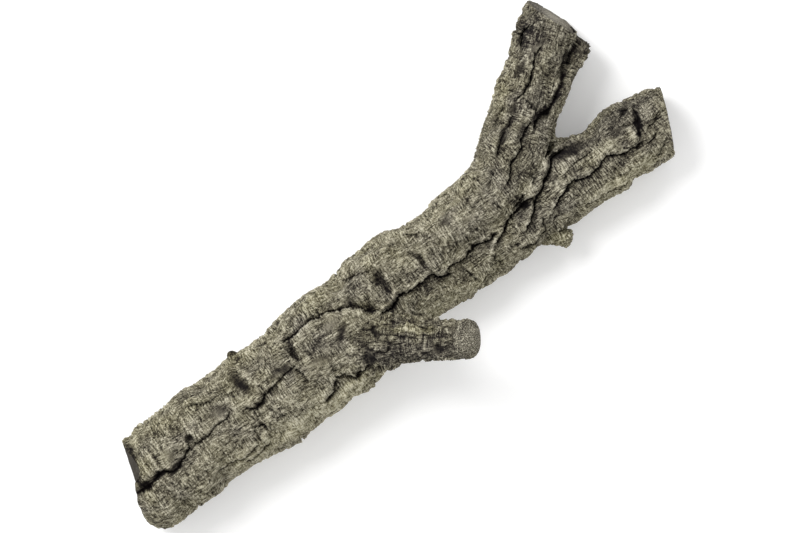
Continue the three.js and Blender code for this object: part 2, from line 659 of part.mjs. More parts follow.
// The cutter of a crack of the upper side: a wedge that follows its path just under the bark.
function blade({ path, depth }) {
  const widest = Math.max(...path.map((row) => row[2]));
  const stops = path.map(([x, y, width], i) => {
    const [before, after] = [path[Math.max(i - 1, 0)], path[Math.min(i + 1, path.length - 1)]];
    const along = new THREE.Vector2(after[0] - before[0], after[1] - before[1]).normalize();
    const top = cast(wholeField, new THREE.Vector3(x, y, 44), UP);
    const bark = top.z + swells(top) + mounds(top, topHumps);
    const half = width / 2;
    const floor = bark - depth * Math.sqrt(width / widest);
    const corner = (reach, z) => [x - reach * along.y, y + reach * along.x, z];
    return [
      corner(half * BLADE_FLARE, bark + BLADE_RISE),
      corner(half * BLADE_FOOT, floor),
      corner(-half * BLADE_FOOT, floor),
      corner(-half * BLADE_FLARE, bark + BLADE_RISE),
    ];
  });
  return strip(stops);
}

function crotchSlot({ path, width, low, high }) {
  const stops = path.map(([x, y], i) => {
    const [before, after] = [path[Math.max(i - 1, 0)], path[Math.min(i + 1, path.length - 1)]];
    const along = new THREE.Vector2(after[0] - before[0], after[1] - before[1]).normalize();
    const corner = (reach, z) => [x - reach * along.y, y + reach * along.x, z];
    const half = width / 2;
    return [corner(half, high), corner(half, low), corner(-half, low), corner(-half, high)];
  });
  return strip(stops);
}

// The cutter of a crack around a piece.
function flankBlade({ sections, field }, { path, depth }) {
  const { frameAt } = wayThrough(sections);
  const places = path.map(([share, degrees, width]) => {
    const { centre, ray } = frameAt(share);
    const out = ray(THREE.MathUtils.degToRad(degrees));
    return { bark: cast(field, centre, out), out, half: width / 2 };
  });
  const stops = places.map(({ bark, out, half }, i) => {
    const [before, after] = [places[Math.max(i - 1, 0)], places[Math.min(i + 1, places.length - 1)]];
    const left = new THREE.Vector3().crossVectors(out, after.bark.clone().sub(before.bark)).normalize();
    const corner = (reach, rise) => bark.clone()
      .addScaledVector(left, reach)
      .addScaledVector(out, rise)
      .toArray();
    return [
      corner(half * BLADE_FLARE, BLADE_RISE),
      corner(half * BLADE_FOOT, -depth),
      corner(-half * BLADE_FOOT, -depth),
      corner(-half * BLADE_FLARE, BLADE_RISE),
    ];
  });
  return strip(stops);
}

function knob() {
  const ball = new THREE.IcosahedronGeometry(KNOB.radius, 1);
  ball.translate(...KNOB.at);
  return solid(ball);
}

const FORMS = {
  trunk: { sections: TRUNK_SECTIONS, field: wholeField, skin: wholeField, humps: topHumps, edges: EDGES.trunk,
    joined: sideField, spokesAbove: 22, spokesBelow: 9 },
  upright: { sections: UPRIGHT_SECTIONS, field: uprightField, skin: wholeField, humps: topHumps,
    edges: EDGES.upright, spokesAbove: 19, spokesBelow: 8 },
  long: { sections: LONG_SECTIONS, field: longField, skin: wholeField, humps: topHumps, edges: EDGES.long,
    spokesAbove: 19, spokesBelow: 8 },
  side: { sections: SIDE_SECTIONS, field: sideField, skin: sideField, humps: sideHumps, joined: wholeField,
    spokesAbove: 12, spokesBelow: 8, dome: 7 },
  twig: { sections: TWIG_SECTIONS, field: twigField, skin: twigField, humps: [], spokesAbove: 6,
    spokesBelow: 5, dome: 4 },
};

function cut(made, cutters) {
  return cutters.reduce((rest, cutter) => rest.subtract(cutter), made);
}

// A form with the cracks of its flanks.
function barkForm(name) {
  const cracks = FLANK_CRACKS[name].map((crack) => flankBlade(FORMS[name], crack));
  return cut(solid(tube(FORMS[name])), cracks);
}

const floorCut = belowFloor();
const slot = crotchSlot(CROTCH);
const topCracks = topCrackRows.map(blade);
const shadow = solid(tube({ ...FORMS.trunk, grow: GAP }));

const trunk = cut(barkForm("trunk").add(knob()), [...topCracks, floorCut]);
const uprightLimb = cut(barkForm("upright"), [...topCracks, slot, floorCut]);
const longLimb = cut(barkForm("long"), [...topCracks, slot, floorCut]).add(solid(tube(FORMS.twig)));
const sideBranch = cut(barkForm("side"), [shadow]);

function piece(name, manifold, colour) {
  const look = { color: colour, roughness: 0.95, metalness: 0, flatShading: true };
  const material = new THREE.MeshStandardMaterial(look);
  const mesh = new THREE.Mesh(geometryOf(manifold), material);
  mesh.name = name;
  return mesh;
}

const branch = new THREE.Group();
branch.add(
  piece("trunk", trunk, 0x837b68),
  piece("upright_limb", uprightLimb, 0x7c766a),
  piece("long_limb", longLimb, 0x7e7766),
  piece("side_branch", sideBranch, 0x6b675e),
);

export default branch;
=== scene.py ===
"""A cork branch on a pale floor, seen from straight above."""

import itertools
import math

import bpy
import numpy as np
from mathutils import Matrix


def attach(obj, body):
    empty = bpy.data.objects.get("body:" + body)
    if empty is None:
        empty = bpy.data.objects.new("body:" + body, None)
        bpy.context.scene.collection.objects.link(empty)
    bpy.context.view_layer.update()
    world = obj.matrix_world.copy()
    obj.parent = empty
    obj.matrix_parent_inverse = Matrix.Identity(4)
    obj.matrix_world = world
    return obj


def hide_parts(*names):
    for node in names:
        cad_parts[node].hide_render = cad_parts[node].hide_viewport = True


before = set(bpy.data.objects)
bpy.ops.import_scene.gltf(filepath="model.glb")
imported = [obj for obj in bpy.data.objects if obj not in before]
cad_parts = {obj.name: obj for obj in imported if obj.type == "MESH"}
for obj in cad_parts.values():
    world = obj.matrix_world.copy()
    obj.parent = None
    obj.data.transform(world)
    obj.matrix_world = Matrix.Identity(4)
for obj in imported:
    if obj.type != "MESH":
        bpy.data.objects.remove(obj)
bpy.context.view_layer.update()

MM = 0.001

# Camera: straight above, turned so that the trunk runs from the lower left to the upper right
CAMERA_MM = 3000.0  # above the plane that the marks below are given on
PLANE_Z = 45.0
VIEW_CENTRE = (19.8, 25.0)
VIEW_WIDTH = 760.0
VIEW_TURN = math.radians(-35)
SENSOR_MM = 36.0

# Form of the branch, in millimetres: spine point x, y, z, then half width and half height
TRUNK = [
    (-332, 10, 43, 28, 36),
    (-316, -1, 43, 42, 41),
    (-303, -7, 43, 46.5, 43),
    (-288, -7, 43, 47.5, 43.5),
    (-270, -4, 43.5, 49, 45),
    (-240, -4.5, 44, 48.5, 46),
    (-215, -1, 44.5, 48.5, 44.5),
    (-190, -2.5, 45, 49.5, 43),
    (-150, -5.5, 46, 52, 43),
    (-120, -3, 46, 50.5, 44.5),
    (-90, 0.5, 46, 53, 48),
    (-65, 1, 46, 54.5, 49),
    (-40, 2, 45, 48, 47),
    (-15, 6, 44, 47, 45.5),
    (15, 9, 42, 42, 43.5),
    (45, 10, 42, 36, 38),
]
UPPER_STRAND = [
    (-60, 30, 48, 20, 30),
    (-20, 32, 47, 27, 38),
    (15, 32, 48, 31, 41),
    (50, 26, 48, 28, 40),
    (80, 28, 48, 29.5, 41),
    (110, 30.5, 48, 30.5, 41),
    (135, 35, 47, 30.5, 40),
    (162, 48.5, 45, 34, 38),
    (181, 63.5, 43, 33.5, 37),
    (195, 77, 41, 31.5, 36),
    (218, 96, 38, 28.5, 35),
    (242, 114, 35.5, 28, 34),
    (274, 138, 33, 27.5, 34),
    (310, 166, 33, 27.5, 34),
]
FLAP = [
    (186, 38, 44, 9, 20),
    (205, 51, 46, 10, 22),
    (226, 64, 45, 8.5, 22),
    (248, 77, 43, 8, 21),
    (268, 89, 42, 8, 19),
    (300, 109, 41, 8, 17),
]
LOWER_STRAND = [
    (-60, -6, 40, 30, 34),
    (-20, -5, 38, 34, 37),
    (15, -3, 37, 33, 37),
    (60, -5, 38, 33, 35),
    (100, -6, 38, 33, 34.5),
    (140, -3, 38, 32.5, 34),
    (175, 0, 37.5, 36.5, 34.5),
    (207, 1, 37, 37, 36),
    (236, -4, 36, 35, 35.5),
    (262, -0.5, 35, 37, 36),
    (285, -2, 35, 36.5, 36.5),
    (310, -5, 35, 33, 36),
    (340, -7, 35, 31, 36),
]
SIDE_BRANCH = [
    (-78, 5, 46, 30, 27),
    (-57, -9, 64, 27, 25),
    (-37, -22, 81, 24, 23),
    (-10, -38, 105, 20.5, 21),
    (15, -54, 126, 18.5, 20),
    (50, -77, 155, 18, 19.5),
]
TWIG = [
    (140, -14, 36, 14, 14),
    (151, -29, 37, 9.5, 9.5),
    (160, -39, 38, 8, 8),
    (175, -56, 39, 8.5, 8.5),
]
BLEND = 7.0  # how softly the strands run into each other
FLAP_BLEND = 2.5
COLLAR_BLEND = 16.0  # the same where the side branch stands on the trunk
SQUARENESS = 2.3
SPAN_STEPS = 6

# Sections where each piece begins and ends: centre, then heading and rise of the section in degrees
FORK_X = 138.0
SEAM = 0.3
TRUNK_SECTIONS = [
    (-305, -4, 43, -19.5, -4),
    (-240, -4, 44, -4, 0),
    (-160, -4, 44, 0, 0),
    (-60, 4, 45, 0, 0),
    (20, 12, 44, 0, 0),
    (80, 12, 44, 0, 0),
    (FORK_X + SEAM, 17, 43, 0, 0),
]
UPRIGHT_SECTIONS = [
    (FORK_X, 37, 46, 0, 0),
    (162, 48, 45, 20, 0),
    (190, 69, 42, 36, 1),
    (225, 98, 38, 38, 3),
    (276, 134, 34, 22, 11),
]
LONG_SECTIONS = [
    (FORK_X, -5, 37, 0, 0),
    (180, -4, 37, 0, 0),
    (240, -3, 36, -4, 0),
    (308, -4, 35, -22.4, 0),
]
SIDE_SECTIONS = [
    (-60, -7, 62, -33, 40),
    (-20, -33, 96, -33, 38),
    (34.6, -66.8, 142.4, -33, 36),
]
TWIG_SECTIONS = [
    (146, -21, 36.5, -48, 4),
    (166.5, -47, 38.5, -48, 5),
]

# Cracks of the upper side, as they are seen from above: depth, lift of the bark on the left of the path, and
# the path with its width at each point
CRACKS = [
    (13, 4, [(-322, -10, 6), (-304, -7, 9), (-297, -8, 10), (-290, -7, 7), (-283, -5, 4.5),
        (-276, -4, 4.5)]),
    (6, 1, [(-183, -24, 2), (-182, -34, 3.5), (-181, -44, 4)]),
    (14, 4, [(-276, -5, 2.5), (-272, -8, 6), (-267, -10.5, 7.5), (-262, -9.5, 6), (-257, -7, 4.5),
        (-252, -4.5, 4), (-245, -2, 3.5), (-243, 1, 3)]),
    (4, 0, [(-292, 37, 2), (-289, 31, 4), (-288.5, 25, 3), (-290, 20, 2)]),
    (10, 3, [(-236, 0, 4), (-232, -2.5, 3.5), (-225, -2, 3), (-216, -0.5, 2.5), (-213, 1.5, 3),
        (-200, 1.5, 2.5), (-195, 4, 2)]),
    (4, 0, [(-194, 5, 2.5), (-191, 9, 3.5), (-190, 15, 2.5)]),
    (6, 2.5, [(-225, 30, 2), (-215, 28, 3.5), (-208, 25.5, 4), (-200, 24, 4.5), (-197, 26, 2)]),
    (6, -1, [(-225, 41, 3), (-217, 38, 5), (-212, 38, 3.5)]),
    (8, 4.5, [(-176, -2, 4), (-168, -6, 6), (-161, -5, 5), (-157, -1, 5), (-150, 0, 4), (-144, 1, 3),
        (-140, 2.5, 3), (-130, 4.5, 3), (-125, 6, 3), (-118, 5, 4), (-116.5, 0, 4), (-114, -4, 4),
        (-113, -8, 3), (-114, -15, 2)]),
    (9, -1, [(-106, 34, 2), (-109, 30, 4), (-108.5, 25, 3.5), (-112, 18, 3.5), (-113.5, 13, 3.5),
        (-112, 8, 2)]),
    (6, 1, [(-165, 34, 1.5), (-163.5, 26, 2.5), (-163, 15, 3), (-165.5, 6, 3.5)]),
    (5, 1, [(-99, -27, 2), (-97, -31, 3.5), (-94, -30, 2)]),
    (6, 1, [(-88, -19, 2), (-86.5, -23, 3), (-84, -27, 3)]),
    (5, 1, [(-66, -24, 2), (-62, -28, 3), (-58, -27, 2)]),
    (4, 2, [(-160, -12, 2), (-155, -22, 2.5), (-151, -30, 2)]),
    (5, 2, [(-173, -14, 2.5), (-167, -14, 2.5)]),
    (6, 2, [(-183, -22, 2.5), (-174, -22, 3), (-170, -30, 3), (-167, -36, 2)]),
    (5, 3, [(-233, -39, 1.5), (-220, -37, 3), (-214, -37, 3), (-205, -38, 2.5), (-190, -35, 1.5)]),
    (7, 3, [(-205, -43, 1.5), (-190, -42, 3), (-185, -42, 6), (-180, -43, 5)]),
    (9, -5, [(-110, 30, 5), (-101, 30, 3.5), (-91, 30.5, 2.5), (-80, 31, 3.5), (-76, 29.5, 3.5),
        (-64, 30, 3), (-57, 28, 3.5), (-50, 24.5, 4), (-41, 21, 4), (-36, 17, 5), (-33, 13, 5)]),
    (9, -4, [(-33, 13, 5), (-30, 8, 6), (-27, 4, 6), (-21, 1, 4)]),
    (9, 5, [(-111, -38, 4), (-104, -37, 5), (-98, -34.5, 4), (-94, -30, 3), (-90, -27, 3), (-86, -29, 3),
        (-82, -29, 3), (-79, -35, 4), (-75, -37, 6), (-71, -33, 7), (-65, -31, 5), (-59, -33, 3)]),
    (6, -3, [(-31, 46.5, 5), (-22, 44, 6), (-15, 39.5, 4), (-8, 38, 4)]),
    (6, 0, [(-4, 36, 2), (-2.5, 30, 3.5), (-3, 24, 3), (-2, 18, 4), (-4.5, 11, 5), (-6, 7, 3)]),
    (4, 1, [(1.5, 33, 2.5), (1.7, 25, 2), (2, 15, 2.5), (1, 10, 2)]),
    (3, 0, [(-9, 26, 3), (-4, 26.5, 3)]),
    (3, 0, [(-9, 37, 2), (-3, 35, 3)]),
    (12, 7, [(-18, -1.5, 3), (-13, -2, 5), (-8, -1.5, 5), (-2, 1, 5), (3, 3, 4.5), (8, 4, 4),
        (10, 0.5, 2.5), (13, 2, 2.2), (20, 1.2, 2.2), (30, 1, 2.4), (34, 2, 3), (40, 2.5, 4), (43, 0, 4),
        (44, -3, 3.5), (49, -5.5, 5), (53, -6, 6)]),
    (10, 5, [(55, -2, 2.5), (64, -1.2, 2.5), (66, -3, 2.5), (72, -3.5, 2.5), (80, -2.2, 2.5),
        (86, -1.5, 2.5), (88, 0.3, 3), (96, 0, 3), (100, -1.5, 3), (105, -2.5, 3), (109, -1, 3.5),
        (112, -1, 2.5)]),
    (12, 6, [(108, -9, 1.5), (114, -6, 2), (119, -4.5, 3), (123, -1, 4), (127, 2, 4), (133, 3.5, 4),
        (140, 5.5, 5), (146, 7.5, 7), (150, 8, 9), (155, 8.5, 6), (160, 7, 3.5)]),
    (13, 6, [(140, -13, 1.5), (145, -11, 2), (150, -7.5, 2.5), (155, -3.5, 3), (159, 1.5, 3), (163, 5, 3),
        (171, 8, 3.5), (177, 12, 4), (183, 16, 4.5), (189, 19, 5), (194, 23, 5), (198, 28, 6),
        (202, 29.5, 5), (208, 29, 3)]),
    (6, 1.5, [(35, 32, 3), (37, 26, 5), (40, 20, 5), (42, 13, 3), (43, 4, 3)]),
    (3, 1, [(8, 45, 2), (14, 44.5, 2), (21, 44.5, 2.5), (22, 47, 2)]),
    (5, 2, [(38, 48.7, 1.5), (44, 47, 2), (46, 43.5, 3), (50, 42, 3), (55, 40.5, 2)]),
    (3, 0.5, [(56, 32.5, 1.5), (66, 31.5, 1.5)]),
    (4, 1, [(96.5, 60, 2), (96.5, 51.5, 2)]),
    (4, 1, [(101, 41.5, 2), (107, 42.5, 2)]),
    (5, 1, [(127, 23, 2.5), (130, 17, 3), (132, 13, 2)]),
    (8, 1.5, [(69.5, -15, 2), (71.5, -23, 3), (73, -30, 2)]),
    (7, 1, [(98.5, -19, 3), (98, -25, 3), (101, -30, 2)]),
    (4, 1, [(94, -25, 2), (94, -31, 2)]),
    (7, 2, [(124, -22, 1.5), (124, -27, 3), (138, -27.5, 3), (153, -28, 3)]),
    (3, 1, [(65, -35.5, 1.5), (74, -35.5, 2), (86, -34, 1.5)]),
    (3, 1, [(15, -28.5, 1.5), (25, -28, 1.5), (36, -27.5, 1.5)]),
    (4, 1, [(12, 60.5, 2.5), (12.2, 57, 3)]),
    (4, 0, [(9, -3, 1.5), (9.5, -10, 2), (9, -18, 2)]),
    # upright limb
    (8, 4, [(148, 32, 3), (154, 35, 4), (158, 40, 4), (163, 46, 5.5), (169, 48, 4), (176, 50, 5),
        (179, 54, 6), (183, 59, 6.5), (187, 61, 6), (192, 64, 6), (196, 66, 6), (201, 66, 4)]),
    (6, 2, [(157, 61, 3), (164, 65, 4.5), (171, 70.5, 5.5), (178, 75, 5.5), (186, 80, 3)]),
    (13, 5, [(201, 61, 4), (204, 65, 6), (209, 67, 7), (218, 66.5, 8), (226, 68, 8), (234, 71, 7.5),
        (240, 75, 7.5), (246, 80, 7.5), (251, 86, 7.5), (258, 93, 7.5), (266, 98, 7), (273, 101, 6),
        (284, 107, 5)]),
    (8, 3, [(204, 92, 2), (210, 93, 3), (216, 96.5, 3.5), (223, 100, 3), (228, 104, 2.5), (232, 108, 2.5),
        (236, 113, 2.5), (241, 116.5, 2.5), (247, 119, 1.5)]),
    (4, 1, [(200, 104.5, 2), (205, 99.5, 2)]),
    (8, 1, [(208, 88, 2), (209.5, 82, 3), (210.5, 76, 3.5), (210.5, 71, 2.5)]),
    (3, 1, [(248, 104, 1.5), (258, 106, 1.8), (266, 109, 1.2)]),
    (8, 4, [(233, 134, 2), (236, 137, 3), (240, 140.5, 3), (244, 141.5, 3), (250, 141.5, 2)]),
    (4, 1, [(256, 134, 2), (262, 130, 3), (267, 128, 2)]),
    (4, 1, [(169, 86, 1.5), (178, 91, 2), (185, 94, 1.5)]),
    (3, 0, [(160, 27, 2), (155, 23.5, 2)]),
    (4, 1, [(131, 38.5, 1.5), (136, 42, 1.8), (142, 45.5, 1.5)]),
    (4, 1, [(129, 51, 2), (139, 53.5, 1.5)]),
    # long limb
    (8, 5, [(172, -13, 2), (181, -8.5, 2.5), (190, -5, 3), (196, -3, 3.5), (202, -2.5, 3),
        (206, -4.5, 3.5), (212, -6, 4), (218, -7, 4), (225, -6, 4), (231, -4.5, 3), (235, -2, 3),
        (240, -0.5, 3), (245, -3, 4), (250, -6, 4), (257, -8.5, 4), (264, -8.5, 3.5), (270, -9, 5),
        (274, -9, 7)]),
    (5, 2, [(270, -10, 3), (276, -5, 4), (281, 1, 5), (284, 9, 5), (287, 16, 4), (287, 21, 2.5)]),
    (4, 2, [(203, 8, 1.5), (212, 10.8, 2.5), (220, 11, 2), (230, 11, 1.5)]),
    (6, 2, [(281, -13, 3), (286, -14, 4), (292, -11.5, 3)]),
    (4, 2, [(289, -2, 3), (295, -1, 2.5), (301, 2.5, 2), (306, 4.5, 2.5), (311, 4, 2)]),
    (6, 2, [(274, 23, 3), (278, 25, 5.5), (284, 25.5, 2.5)]),
    (5, 1, [(271, 14, 3), (277, 11, 3.5)]),
    (3, 0, [(311, 19.5, 3), (311, 17, 3)]),
    (4, 2, [(200, -30, 1.5), (215, -31, 1.8), (225, -32, 1.8), (233, -34, 1.8), (240, -32, 1.3)]),
    (3, 1, [(240, -24, 1.3), (262, -25.5, 1.3)]),
    (3, 1, [(203, -19.5, 1.5), (213, -20, 1.5)]),
    (8, 1, [(157, -16.5, 2.5), (155, -22, 3.5), (154, -26, 2.5)]),
    (3, 1, [(164, -24, 1.5), (171, -23, 1.5)]),
    (3, 1, [(162, -19, 1.5), (165, -17, 1.5), (175, -16, 1.5)]),
    (4, 1, [(282, -31, 4), (290, -28, 3), (298, -21, 2)]),
]
# Thin lines: width, depth and path
LINES = [
    (1.5, 2, [(-272, 22.5), (-256, 23), (-240, 23)]),
    (2, 3, [(-281, 27), (-272, 25)]),
    (2, 3, [(-210.5, -18.5), (-203, -15)]),
    (1.6, 3, [(-220, -26), (-217, -31), (-208, -28)]),
    (1.8, 4, [(-191.5, -1.5), (-188.5, -10), (-186, -15.5)]),
    (2, 3, [(-187, 21), (-183, 19)]),
    (2.6, 4, [(-252, -27.5), (-251.5, -29.5)]),
    (2.5, 3, [(-289, -46), (-285, -46)]),
    (1.5, 3, [(-178, -49), (-160, -46), (-150, -44)]),
    (1.5, 3, [(-143, -36), (-130, -34)]),
    (1.5, 3, [(-142, -40), (-130, -38)]),
    (1.5, 2.5, [(-136, -25), (-127, -23)]),
    (1.5, 2.5, [(-140, -44.5), (-122, -43), (-100, -44)]),
    (2.2, 4, [(-99, -24.5), (-95, -27), (-92, -21)]),
    (2.2, 4, [(-90, -25), (-87.5, -30)]),
    (1.8, 4, [(-85, -20), (-87, -14)]),
    (1.5, 3, [(-52, -43), (-48, -42)]),
    (1.5, 2.5, [(8, 15.5), (25, 14), (42, 11)]),
    (1.5, 2, [(5, 27.5), (28, 26)]),
    (1.5, 2, [(6, 20.5), (38, 19.5)]),
    (1.5, 2, [(46, 5.5), (64, 5), (84, 5.5)]),
    (1.5, 2.5, [(53, 24), (53, 14)]),
    (1.6, 2, [(61, 24), (61.5, 10)]),
    (1.4, 2, [(91, 27), (93, 14)]),
    (1.5, 2, [(-70, -7.5), (-65, -8.5)]),
    (2.5, 5, [(-59, -8), (-57, -14), (-54, -18)]),
    (2.2, 5, [(-50, -17.5), (-46.5, -24), (-42, -30)]),
    (2.2, 5, [(-42, -30), (-36, -34.5), (-33, -33)]),
    (2, 4, [(-37, -3), (-27, -4)]),
    (2, 4, [(-22, -14), (-16, -15.5)]),
    (1.8, 4, [(-30, -32), (-24, -34), (-22, -38)]),
    (2, 4, [(-14, -20), (-11, -25)]),
    (2.5, 5, [(2, -52), (8, -58.5), (15, -66)]),
    (1.8, 3, [(0, -40), (10, -48), (18, -50)]),
    (1.8, 3, [(5, -37), (16, -45), (30, -53)]),
    (1.5, 2.5, [(0, -24), (8, -27)]),
    (1.5, 2.5, [(-3, -30), (12, -36), (24, -43)]),
    (1.5, 3, [(-28, -12), (-22, -19), (-18, -27)]),
    (2.0, 3, [(-45, -9), (-38, -14), (-36, -20)]),
]
# Round holes and hollows: centre, radius, depth
PITS = [
    (-237.6, 4.7, 5.2, 11), (-264, -48, 2, 3), (-301, -37, 2.5, 1.5), (-273, 34, 2.5, 1.5),
    (-62, 14, 1.6, 2), (-62, 49, 2, 3), (24, -16, 2, 2), (-33, -6, 2.2, 3), (78, 12.5, 1.8, 2.5),
    (122, 12.5, 1.8, 2), (187.5, -36, 1.6, 3), (-160, 33, 1.5, 2), (-157, 31, 1.3, 2),
    (-91, 25.5, 1.2, 2), (-134, -2, 1.2, 1.5), (96, 0, 1.5, 2),
]
# Places worn smooth: centre, half length, half width, heading in degrees, sink
WORN = [
    (-284, -6.5, 8, 3, 0, 1.5), (-169, 23, 7, 15, 10, 0), (-130, 8.5, 15, 4, 6, 0.5),
    (-62, 4.5, 13, 4.5, 43, 1.5), (-35.5, -12, 3.5, 6.5, -20, 2.5), (214, 24, 22, 9, -5, 3),
    (222, 115, 9, 4, 12, 1.5), (195, 87, 6, 4, 20, 1.5), (248, 121, 15, 4, 8, 1.5),
    (281, 95, 9, 7, 35, 0), (-95, -5, 14, 5, -14, 0), (-66, 18, 9, 8, 0, 0), (98, 25, 6, 3.5, -20, 0.8),
    (79, 36, 7, 3.5, -10, 1.5), (-202, 10, 12, 6, 5, 1.5), (-263, 4, 7, 6, 0, 0), (6, -60, 7, 5, -60, 2),
    (-52, -29, 7, 12, -35, 2), (103, -4, 6, 3.5, 0, 2), (150, 5, 7, 5, 0, 3), (263, 11, 5, 4, 0, 2),
    (285, 13, 3.5, 8, -15, 2.5), (245, 85, 6, 3, 40, 0), (262, 90, 14, 3.5, 30, 0),
    (-39, 27, 5, 4, -40, 1), (-9, 3, 5, 3, 0, 1), (168, 66, 9, 2.5, 30, 1), (190, 68, 7, 3, 20, 1),
    (218, 62, 9, 3, 8, 1),
]
# Outlines as seen from above, from the butt towards the limbs' ends
TRUNK_LEFT_EDGE = [
    (-293, 38), (-287, 41.5), (-281, 40), (-272, 45), (-262, 44), (-240, 45), (-228, 47), (-216, 48.5),
    (-205, 45.5), (-190, 46.5), (-178, 45.5), (-170, 48.5), (-150, 47), (-140, 46), (-130, 47.5),
    (-122, 46.5), (-112, 50), (-103, 52), (-88, 54), (-70, 56), (-60, 54.5), (-45, 53.5), (-28, 56),
    (-22, 60), (-15, 60.5), (-8, 59.5), (0, 61), (12, 62.5), (25, 62), (32, 59), (38, 56), (50, 55),
    (65, 54.5), (73, 55.5), (80, 59), (95, 60), (110, 61), (120, 63), (130, 65), (141, 70),
]
TRUNK_RIGHT_EDGE = [
    (-324, -22), (-317, -34), (-314, -43), (-309, -49.5), (-300, -54), (-290, -54.5), (-270, -53),
    (-250, -53), (-242, -54), (-230, -49.5), (-210, -50.5), (-200, -50), (-190, -52), (-175, -54),
    (-160, -57), (-150, -57.5), (-140, -55.5), (-120, -53.5), (-105, -55), (-90, -52), (-82, -51.5),
    (-75, -55.5), (-60, -53), (-50, -49), (-42, -47), (-20, -43), (0, -39), (21, -35), (35, -36),
    (52, -37), (60, -40), (65, -36), (75, -37.5), (83, -38.5), (92, -37), (98, -39.5), (108, -38),
    (115, -36), (124, -38), (137, -34.5), (142, -35),
]
UPRIGHT_LEFT_EDGE = [
    (136, 67.5), (143, 75), (150, 80), (160, 89), (172, 97), (185, 107), (195, 117), (206, 121),
    (218, 130), (224, 134), (227, 140), (235, 144), (240, 150), (250, 155), (259, 161), (264, 162),
]
UPRIGHT_RIGHT_EDGE = [
    (211, 43), (215, 47), (225, 55), (235, 61), (245, 67), (255, 74.5), (262, 79), (275, 83), (286, 89),
]
LONG_LEFT_EDGE = [
    (213, 37), (218, 36), (230, 31), (235, 29.5), (248, 33), (262, 36), (270, 36.5), (284, 33),
    (296, 31), (310, 29), (313, 25), (321, 24),
]
LONG_RIGHT_EDGE = [
    (136, -34.5), (139, -35), (174, -35.5), (180, -37.5), (195, -36.5), (215, -36), (230, -38),
    (241, -40), (244, -36), (250, -34), (265, -38), (296, -38.5),
]
SIDE_LEFT_EDGE = [
    (-2, -18), (5, -22), (12, -27), (22, -37), (30, -43), (38, -49), (44, -52),
]
SIDE_RIGHT_EDGE = [
    (-38, -48.5), (-35, -50), (-20, -58), (0, -70), (10, -77), (22, -84), (24, -85.5),
]
# The butt's rim: how far into the branch it lies from its section, at places across the branch
BUTT_RIM = [
    (-60, 20), (-50, 10), (-44, 5), (-37, 1), (-29, -0.8), (-20, -2), (-5, -1.8), (1, -0.5), (5, 4),
    (8, 8.5), (14, 7.5), (22, 5), (28, 3), (34, -0.8), (40, -2),
]
# The upright limb's rim: how far it lies beyond its section, at places across the branch
UPRIGHT_RIM = [
    (80, -8), (88, -3), (95, -2), (100, -4), (105, -6.5), (109, -3), (113, 0), (120, 1.5), (145, 0.5),
    (160, 0),
]
# Where the bark is strongly ribbed: centre, half length, half width and heading
RIBBED = [
    (66, 16, 18, 13, 0), (-87, -38, 18, 7, 0), (235, 2, 30, 10, 0), (246, -16, 30, 9, 0),
    (112, -25, 14, 8, 0), (58, -12, 30, 12, 0), (-262, 16, 34, 22, 0), (-258, -28, 44, 20, 0),
    (-15, 24, 5, 14, 0), (-172, -30, 10, 14, 0), (20, 10, 20, 8, 0), (-90, 40, 16, 9, 0),
    (-70, 40, 8, 12, 0), (150, 66, 16, 12, 20),
]
